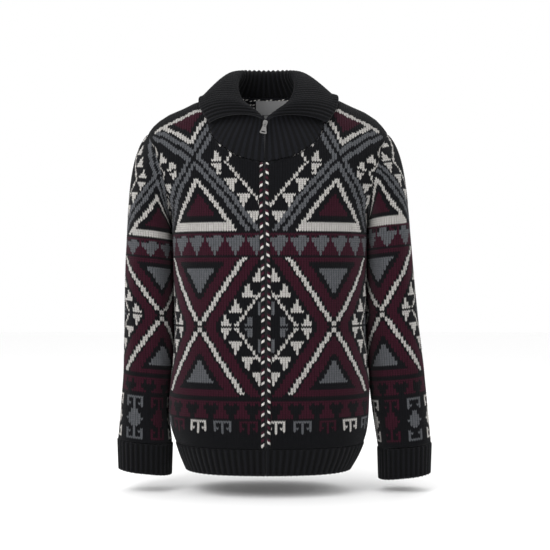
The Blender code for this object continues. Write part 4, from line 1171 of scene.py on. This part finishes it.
def off_the_body(points, side, clearance):
    """Moves points out until they clear the shoulders and chest."""
    moved = points.copy()
    for _ in range(4):
        x, y, z = moved[..., 0], moved[..., 1], moved[..., 2]
        forward = np.where(y < 0, curve(DEPTH, "front", z), curve(DEPTH, "back", z))
        reach = forward * wrap(x, YOKE_HALF)
        up = 1.0 - np.clip((ridge_z(x, side) - z) / SHOULDER_ROLL, -1.0, 1.0)
        level = (y / reach) ** 2 + up ** 2 - 1.0
        slope_y = 2.0 * y / reach ** 2
        slope_z = 2.0 * up / SHOULDER_ROLL
        steep = np.hypot(slope_y, slope_z)
        lack = np.maximum(clearance - level / steep, 0.0)
        lack = lack * ease((np.abs(x) - NECK_HALF + 0.004) / 0.012)
        moved[..., 1] += lack * slope_y / steep
        moved[..., 2] += lack * slope_z / steep
    return moved


def arc(a, b, c, d, s):
    """Point at share s of a smooth arc from a to d, which b and c pull outwards."""
    return (1 - s) ** 3 * a + 3 * s * (1 - s) ** 2 * b + 3 * s * s * (1 - s) * c + s ** 3 * d


def collar_line(side, step, seam, seam_out):
    """Middle of the cloth along one rib: up the stand, over the roll and down the leaf."""
    roll, edge = (
        np.array([float(curve(COLLAR, line + axis, step, key="step")) for axis in ("x", "y", "z")])
        for line in ("roll_", "edge_")
    )
    roll[0] *= SIDES[side]
    edge[0] = edge[0] * SIDES[side] + COLLAR_SHIFT
    at_zip = float(ease(1.0 - step / ZIP_PART))
    at_front = float(ease(1.0 - step / FRONT_PART))
    roll[0] += at_zip * float(centre_x(roll[2]))
    out = (edge - roll) * (1.0, 1.0, 0.0)
    out = unit(out + 0.12 * FORWARD * at_front)
    stand_out = unit(out * (1.0 - at_zip) + FORWARD * at_zip)
    stand_start = seam + (roll - seam) * 0.33 + seam_out * 0.002 * (1.0 - at_zip)
    stand_end = roll - stand_out * COLLAR_ROLL * (1.0 - 0.6 * at_zip) - 0.008 * UP
    leaf_start = roll + unit(out + FORWARD * 0.6 * at_zip) * COLLAR_ROLL * 1.7
    leaf_start[2] += 0.005 + 0.008 * at_front
    leaf_end = edge - unit(edge - roll - 0.030 * UP) * 0.030
    leaf_end[2] += 0.010 * at_front
    stand = [arc(seam, stand_start, stand_end, roll, s) for s in np.linspace(0.0, 1.0, 26)]
    leaf = [arc(roll, leaf_start, leaf_end, edge, s) for s in np.linspace(0.0, 1.0, 30)[1:]]
    leaf = off_the_body(np.array(leaf), side, LEAF_CLEARANCE)
    return np.concatenate([np.array(stand), leaf])


def collar():
    """The whole band, from the right front end round the back to the left front end."""
    halves = {}
    for side in SIDES:
        points, outs, run = neck_seam(side)
        columns = []
        for step in np.linspace(0.0, 1.0, 2 * COLLAR_RIBS + 1):
            seam = np.array([np.interp(step, run, points[:, c]) for c in range(3)])
            out = unit(np.array([np.interp(step, run, outs[:, c]) for c in range(3)]))
            columns.append(collar_line(side, step, seam - out * WALL / 2.0, out))
        halves[side] = np.array(columns)
    middle = np.concatenate([halves["right"], halves["left"][-2::-1]]).transpose(1, 0, 2)
    normals = with_normals(middle, np.array([0.0, 0.0, 0.0]))
    back = middle.shape[1] // 2
    if normals[3, back, 1] > 0:
        normals = -normals
    shown = middle + normals * RIB_WALL / 2.0
    tall = np.linalg.norm(np.diff(middle[:, back], axis=0), axis=1).sum()

    def rise(share):
        return ease(share / 0.08)

    return rib("rib_collar", shown, normals, COLLAR_RIBS, tall, wall=RIB_WALL, shape=rise)


ribs["collar"] = collar()

# %% [markdown]
# Beside the zip each front ends in a chain edge of marled yarn, worked in one thick loop after
# another, with pale and dark yarns taking turns. A loop is a plump slanting drop of yarn, so it is
# modelled as one: rings of a few points, swollen in the middle and drawn in at both ends.

# %% Marled chain edges
DROP_PITCH = 0.0046
DROP_LENGTH = 0.0128
DROP_RADIUS = 0.0030
DROP_LEAN = 0.0013       # how far a drop's top leans to one side
DROP_COLOURS = (IVORY, INK, WINE, INK, IVORY, WINE, INK, INK)
DROP_RINGS = ((0.0, 0.25), (0.12, 0.72), (0.35, 1.0), (0.6, 0.92), (0.82, 0.6), (1.0, 0.2))
DROP_END = 0.0006        # room between the last drops and the end of the edge
CORE_PARTS = 40
CORE_RADIUS = 0.0034


def tube_faces(rings, sides):
    """Faces of a closed tube whose points come ring by ring."""
    faces = []
    for r in range(rings - 1):
        for n in range(sides):
            a, b = r * sides + n, r * sides + (n + 1) % sides
            faces.append([a, b, b + sides, a + sides])
    last = (rings - 1) * sides
    return faces + [list(range(sides))[::-1], list(range(last, last + sides))]


def one_yarn(colour, faces):
    """The same colour at every corner of some faces."""
    return np.tile([*colour, 1.0], (sum(len(face) for face in faces), 1))


def drop(start, end, radius, colour, sides=7):
    """Corners, faces and colours of one plump loop of yarn from start to end."""
    start = np.asarray(start, float)
    end = np.asarray(end, float)
    along = unit(end - start)
    side = unit(np.cross(along, np.array([0.0, 1.0, 0.0])))
    front = np.cross(side, along)
    points = []
    for share, size in DROP_RINGS:
        for n in range(sides):
            angle = 2.0 * math.pi * n / sides
            reach = side * math.cos(angle) + front * math.sin(angle)
            points.append(start + (end - start) * share + reach * radius * size)
    faces = tube_faces(len(DROP_RINGS), sides)
    return points, faces, one_yarn(colour, faces)


def gather(name, parts):
    """One mesh from many small closed ones."""
    points, faces, colours = [], [], []
    for part_points, part_faces, part_colours in parts:
        shift = len(points)
        points += [tuple(p) for p in part_points]
        faces += [[v + shift for v in face] for face in part_faces]
        colours.append(part_colours)
    colours = np.concatenate(colours)
    piece = add_mesh(name, points, faces, colours, np.zeros((len(colours), 2)))
    print(name, len(parts), "parts,", sum(len(f) - 2 for f in faces), "triangles")
    return piece


def zip_line(side, count):
    """Points up a front's zip edge, on the cloth's outer face."""
    rows = np.linspace(0.0, 1.0 + ZIP_SHARE, count)
    return np.array([panel_row(side, "front", row, 3)[0] for row in rows])


def chain_edge(side):
    """One front's chain edge: drops in turn, leaning towards the zip, over a dark core."""
    sign = SIDES[side]
    line = zip_line(side, 200)
    run = run_along(line[None])[0]
    last = run[-1]

    def spot(reach, lean, under):
        """Point of the edge at a distance up the zip, leaning away from the zip and under its face."""
        y, z = (np.interp(min(reach, last), run, line[:, c]) for c in (1, 2))
        middle = float(centre_x(z)) + sign * (EDGE_WIDTH + 2 * CORE_GAP) / 2.0
        return middle + sign * lean, y + WALL / 2.0 - under, z

    parts = []
    for n in range(int(last / DROP_PITCH) - 1):
        along = (n + 0.35) * DROP_PITCH
        low = spot(min(along, last - DROP_END), DROP_LEAN, 0.0002)
        high = spot(min(along + DROP_LENGTH, last - DROP_END), -DROP_LEAN, 0.0012)
        colour = YARN_COLOURS[DROP_COLOURS[(n + (3 if sign > 0 else 0)) % len(DROP_COLOURS)]]
        parts.append(drop(low, high, DROP_RADIUS, colour * (0.80 + 0.25 * (luck.random() - 0.5))))
    for n in range(CORE_PARTS):
        ends = [spot(k * last / CORE_PARTS, 0.0, -0.0006) for k in (n, n + 1)]
        parts.append(drop(*ends, CORE_RADIUS, YARN_COLOURS[INK]))
    return gather("chain_edge_" + side, parts)


edges = {"zip_edge_" + side: chain_edge(side) for side in SIDES}

# %% [markdown]
# The zip itself is sewn behind the chain edges: two woven polyester tapes, and a coil of moulded
# teeth that shows as a dark line between the edges, and more plainly where the ribs part for it.

# %% Zip tapes and teeth
TAPE_WIDTH = 0.0140
TAPE_THICK = 0.0010
TAPE_ROOM = 0.0012       # between the cloth's inner face and the tape
COLLAR_TAPE_ROOM = 0.0045
SLIDER_Z = -0.0640
TOOTH_PITCH = 0.0016
TOOTH_RADIUS = 0.0010
TOOTH_ROOM = 0.0036      # between the cloth's outer face and the coil
RIB_TOOTH_ROOM = 0.0030  # the same where the ribs part for it


def centre_line():
    """Outer face of the cloth along the zip, from the hem to the slider, as (y, z)."""
    line = [(-float(curve(DEPTH, "front", z)), z) for z in (HEM_Z, (HEM_Z + HEM_SEAM_Z) / 2.0)]
    line += [(p[1] + SEAM_GAP / 2.0, p[2]) for p in zip_line("left", 40)]
    line.append((COLLAR["roll_y"][0], SLIDER_Z))
    return line


def ribbon(name, grid, thick):
    """Thin closed strip: a grid of points, and its second face at a distance behind it."""
    rows, columns = grid.shape[:2]
    count = rows * columns
    ids = np.arange(count).reshape(rows, columns)
    face = np.stack([ids[:-1, :-1], ids[:-1, 1:], ids[1:, 1:], ids[1:, :-1]], axis=2).reshape(-1, 4)
    loop = np.concatenate([ids[0, :-1], ids[:-1, -1], ids[-1, :0:-1], ids[:0:-1, 0]])
    after = np.roll(loop, -1)
    rim = np.stack([loop, after, after + count, loop + count], axis=1)
    points = grid.reshape(-1, 3)
    piece = add_mesh(
        name, np.concatenate([points, points + (0.0, thick, 0.0)]).tolist(),
        np.concatenate([face, face[:, ::-1] + count, rim]).tolist(), smooth=False,
    )
    turned = bmesh.new()
    turned.from_mesh(piece.data)
    bmesh.ops.recalc_face_normals(turned, faces=turned.faces)
    turned.to_mesh(piece.data)
    turned.free()
    return piece


def tape(side):
    """One woven tape, from the hem to the slider."""
    sign = SIDES[side]
    rows = []
    for y, z in centre_line():
        x = float(centre_x(z)) + sign * SEAM_GAP * 2.0
        in_collar = z > ZIP_TOP_Z + SEAM_GAP
        near = y + RIB_WALL + (COLLAR_TAPE_ROOM if in_collar else TAPE_ROOM)
        across = np.linspace(0.0, 1.0, 9)
        rows.append([(x + sign * TAPE_WIDTH * s, near + TAPE_THICK * s, z) for s in across])
    return ribbon("zip_tape_cloth_" + side, np.array(rows), TAPE_THICK)


def zip_teeth():
    """Coil teeth, left and right in turn, from the hem to the slider."""
    line = np.array([(0.0, y, z) for y, z in centre_line()])
    run = run_along(line[None])[0]
    count = int((run[-1] - 0.006) / TOOTH_PITCH)
    parts = []
    for n in range(count):
        reach = 0.002 + n * TOOTH_PITCH
        y, z = np.interp(reach, run, line[:, 1]), np.interp(reach, run, line[:, 2])
        room = RIB_TOOTH_ROOM if z < HEM_SEAM_Z or z > ZIP_TOP_Z else TOOTH_ROOM
        x = float(centre_x(z))
        sign = 1.0 if n % 2 else -1.0
        start = (x - sign * 0.0016, y + room, z)
        end = (x + sign * 0.0030, y + room + 0.0004, z + 0.0003)
        parts.append(drop(start, end, TOOTH_RADIUS, YARN_COLOURS[INK] * 1.6, sides=5))
    return gather("zip_teeth", parts)


tapes = {"zip_tape_" + side: tape(side) for side in ("left", "right")}
teeth = zip_teeth()

# %% [markdown]
# Two woven satin labels are stitched into the back of the neck. Nothing is printed on them here.
# Above them the neck seam is covered by a run of pale hand stitches.

# %% Labels and neck stitches
LABEL_X = 0.009
LABEL_ROOM = 0.0013      # between the cloth's inner face and the ribbon
LABEL_THICK = 0.0005
STITCH_RADIUS = 0.0010


def back_inside(x, z):
    """Inner face of the back panel near the neck."""
    side = "left" if x >= 0 else "right"
    depth = float(curve(DEPTH, "back", z) * dome(x, z, side)) * float(wrap(x, YOKE_HALF))
    return depth - WALL * 1.15 - SEAM_GAP


def label(name, half_width, top, bottom):
    """Thin ribbon, a little bowed, held by its top edge."""
    rows = []
    for up in np.linspace(0.0, 1.0, 9):
        z = bottom + (top - bottom) * up
        row = []
        for along in np.linspace(0.0, 1.0, 13):
            x = LABEL_X + half_width * (2.0 * along - 1.0)
            curl = 0.0009 * (1.0 - up) ** 2 + 0.0003 * math.sin(3.0 * along + 1.0) * (1.0 - up)
            row.append((x, back_inside(x, z) - LABEL_ROOM - curl, z))
        rows.append(row)
    return ribbon(name, np.array(rows), -LABEL_THICK)


labels = {
    "neck_label": label("woven_neck_label", 0.030, 0.004, -0.022),
    "size_label": label("woven_size_label", 0.015, -0.0225, -0.040),
}


def neck_stitches():
    """Pale stitches over the back neck seam, inside the collar."""
    parts = []
    first = [(x, 0.0045 + 0.0012 * math.sin(260.0 * x)) for x in np.arange(-0.062, 0.063, 0.0078)]
    second = [(x, z) for z in (-0.0035, -0.0090) for x in np.arange(-0.050, -0.023, 0.0061)]
    for x, z in first + second:
        low, high = (
            (x + along, back_inside(x + along, z) - 0.0004, z + up)
            for along, up in ((-0.0026, -0.0007), (0.0026, 0.0009))
        )
        parts.append(drop(low, high, STITCH_RADIUS, YARN_COLOURS[IVORY], sides=6))
    return gather("neck_stitches", parts)


hand_stitches = neck_stitches()

# %% [markdown]
# Panels and welt are linked together with one more row of yarn, which shows as a ridge inside.

# %% Linked seam inside the hem
LINK_RADIUS = 0.0028


def yarn_line(name, points, radius, colour, sides=6):
    """Closed tube of yarn along points that lie level."""
    points = np.asarray(points, float)
    along = unit(np.gradient(points, axis=0))
    side = unit(np.cross(along, UP))
    angles = [2.0 * math.pi * n / sides for n in range(sides)]
    vertices = [
        tuple(p + (s * math.cos(a) + UP * math.sin(a)) * radius)
        for p, s in zip(points, side) for a in angles
    ]
    faces = tube_faces(len(points), sides)
    colours = one_yarn(colour, faces)
    return add_mesh(name, vertices, faces, colours, np.zeros((len(colours), 2)))


def linked_seam(side, face):
    """Ridge of yarn behind the seam between one half panel and the welt."""
    start = EDGE_WIDTH if face == "front" else 0.0
    inward = 1.0 - (WALL + LINK_RADIUS) / float(curve(DEPTH, face, HEM_SEAM_Z))
    line = hem_ring(side, face, HEM_SEAM_Z - SEAM_GAP / 2.0, start, count=41)[:-1]
    line = line * np.array([inward + (1.0 - inward) * 0.45, inward, 1.0])
    return yarn_line("linked_seam_" + face + "_" + side, line, LINK_RADIUS, YARN_COLOURS[INK])


seams = [linked_seam(side, face) for side in SIDES for face in ("front", "back")]
print("linked seams:", len(seams))

# %% [markdown]
# Every piece now rides on the garment's body and stands for its solid. Sewing, chain loops and teeth are
# small closed forms of their own.

# %% Hand the pieces to the frame
def dress(piece, material, node=None):
    """Rides the piece on the garment, in place of its solid if it stands for one."""
    piece.data.materials.append(material)
    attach(piece, "garment")
    if node:
        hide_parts(node)


for group, material, slot in (
    (cloth, jacquard_wool, "patterned_knit"), (ribs, rib_wool, "black_rib"),
    (edges, marled_wool, "marled_edge"), (tapes, polyester_tape, "zip_tape"),
    (labels, satin_label, "label_satin"),
):
    for node, piece in group.items():
        dress(piece, material, node)
dress(teeth, polyester_tape)
dress(hand_stitches, marled_wool)
for seam in seams:
    dress(seam, rib_wool)
for node in ("zip_slider", "zip_pull"):
    for slot in frame["nodes"][node].material_slots:
        slot.material = nickel
pieces = {**cloth, **ribs, **edges, **tapes, **labels}
print("solids with a dressed piece:", len(pieces))

# %% [markdown]
# Each cloth piece was knitted or cut to a flat size, given here as a rectangle of about its area.
# A piece that tapers, such as the back, a sleeve or the collar, has its mean width. The zip's
# chain edges are rows of round loops rather than sheets.

# %% Flat sizes of the cloth
FLAT = {
    "front_left": (0.275, 0.675), "front_right": (0.265, 0.675), "back": (0.550, 0.690),
    "sleeve_left": (0.420, 0.560), "sleeve_right": (0.410, 0.560),
    "cuff_left": (0.330, 0.060), "cuff_right": (0.330, 0.060),
    "hem_front_left": (0.235, 0.052), "hem_front_right": (0.230, 0.052), "hem_back": (0.450, 0.052),
    "collar": (0.580, 0.195), "zip_tape_left": (0.014, 0.665), "zip_tape_right": (0.014, 0.665),
    "neck_label": (0.060, 0.026), "size_label": (0.030, 0.0175),
}


def one_face(piece):
    """Area of one face of a closed thin piece, in square metres."""
    return sum(face.area for face in piece.data.polygons) / 2.0


for node, (width, length) in FLAT.items():
    piece = pieces[node]
    print(node, "cut to", round(width * length, 4), "and now", round(one_face(piece), 4), "square metres")

# %% [markdown]
# The photo is taken level from straight in front, with soft light from above and a little to the
# left, on a plain pale ground.

# %% Stage, light and camera
FLOOR_Z = HEM_Z - 0.042
FLOOR_CORNERS = [(-6.0, -6.0), (6.0, -6.0), (6.0, 6.0), (-6.0, 6.0)]
floor = add_mesh("floor", [(x, y, FLOOR_Z) for x, y in FLOOR_CORNERS], [(0, 1, 2, 3)])
pale_floor, tree, shader = new_finish("pale_floor")
plug(tree, shader, {"Base Color": (*linear("#fbfbfb"), 1.0), "Roughness": 0.9})
floor.data.materials.append(pale_floor)

world = bpy.data.worlds.new("studio")
bpy.context.scene.world = world
world.use_nodes = True
plug(world.node_tree, world.node_tree.nodes["Background"], {
    "Color": (1.0, 1.0, 1.0, 1.0), "Strength": 1.0,
})


def softbox(name, place, target, width, power):
    """Square soft light that faces its target."""
    light = bpy.data.lights.new(name, "AREA")
    light.shape = "SQUARE"
    light.size = width
    light.energy = power
    lamp = bpy.data.objects.new(name, light)
    lamp.location = place
    lamp.rotation_euler = (Vector(target) - Vector(place)).to_track_quat("-Z", "Y").to_euler()
    bpy.context.scene.collection.objects.link(lamp)


softbox("key", (-1.1, -1.6, 1.0), (0.0, 0.0, -0.30), 1.4, 34.0)
softbox("fill", (1.7, -1.5, 0.3), (0.0, 0.0, -0.35), 1.8, 12.0)
softbox("rim", (0.3, 1.6, 1.2), (0.0, 0.0, -0.20), 1.6, 16.0)

lens = bpy.data.cameras.new("camera")
lens.lens = 77.0
lens.sensor_width = 36.0
camera = bpy.data.objects.new("camera", lens)
camera.location = (0.0159, -2.2, -0.333)
camera.rotation_euler = (math.pi / 2.0, 0.0, 0.0)
bpy.context.scene.collection.objects.link(camera)
bpy.context.scene.camera = camera
bpy.context.scene.view_settings.view_transform = "Standard"
print("camera stands", round(abs(camera.location.y), 2), "m in front")
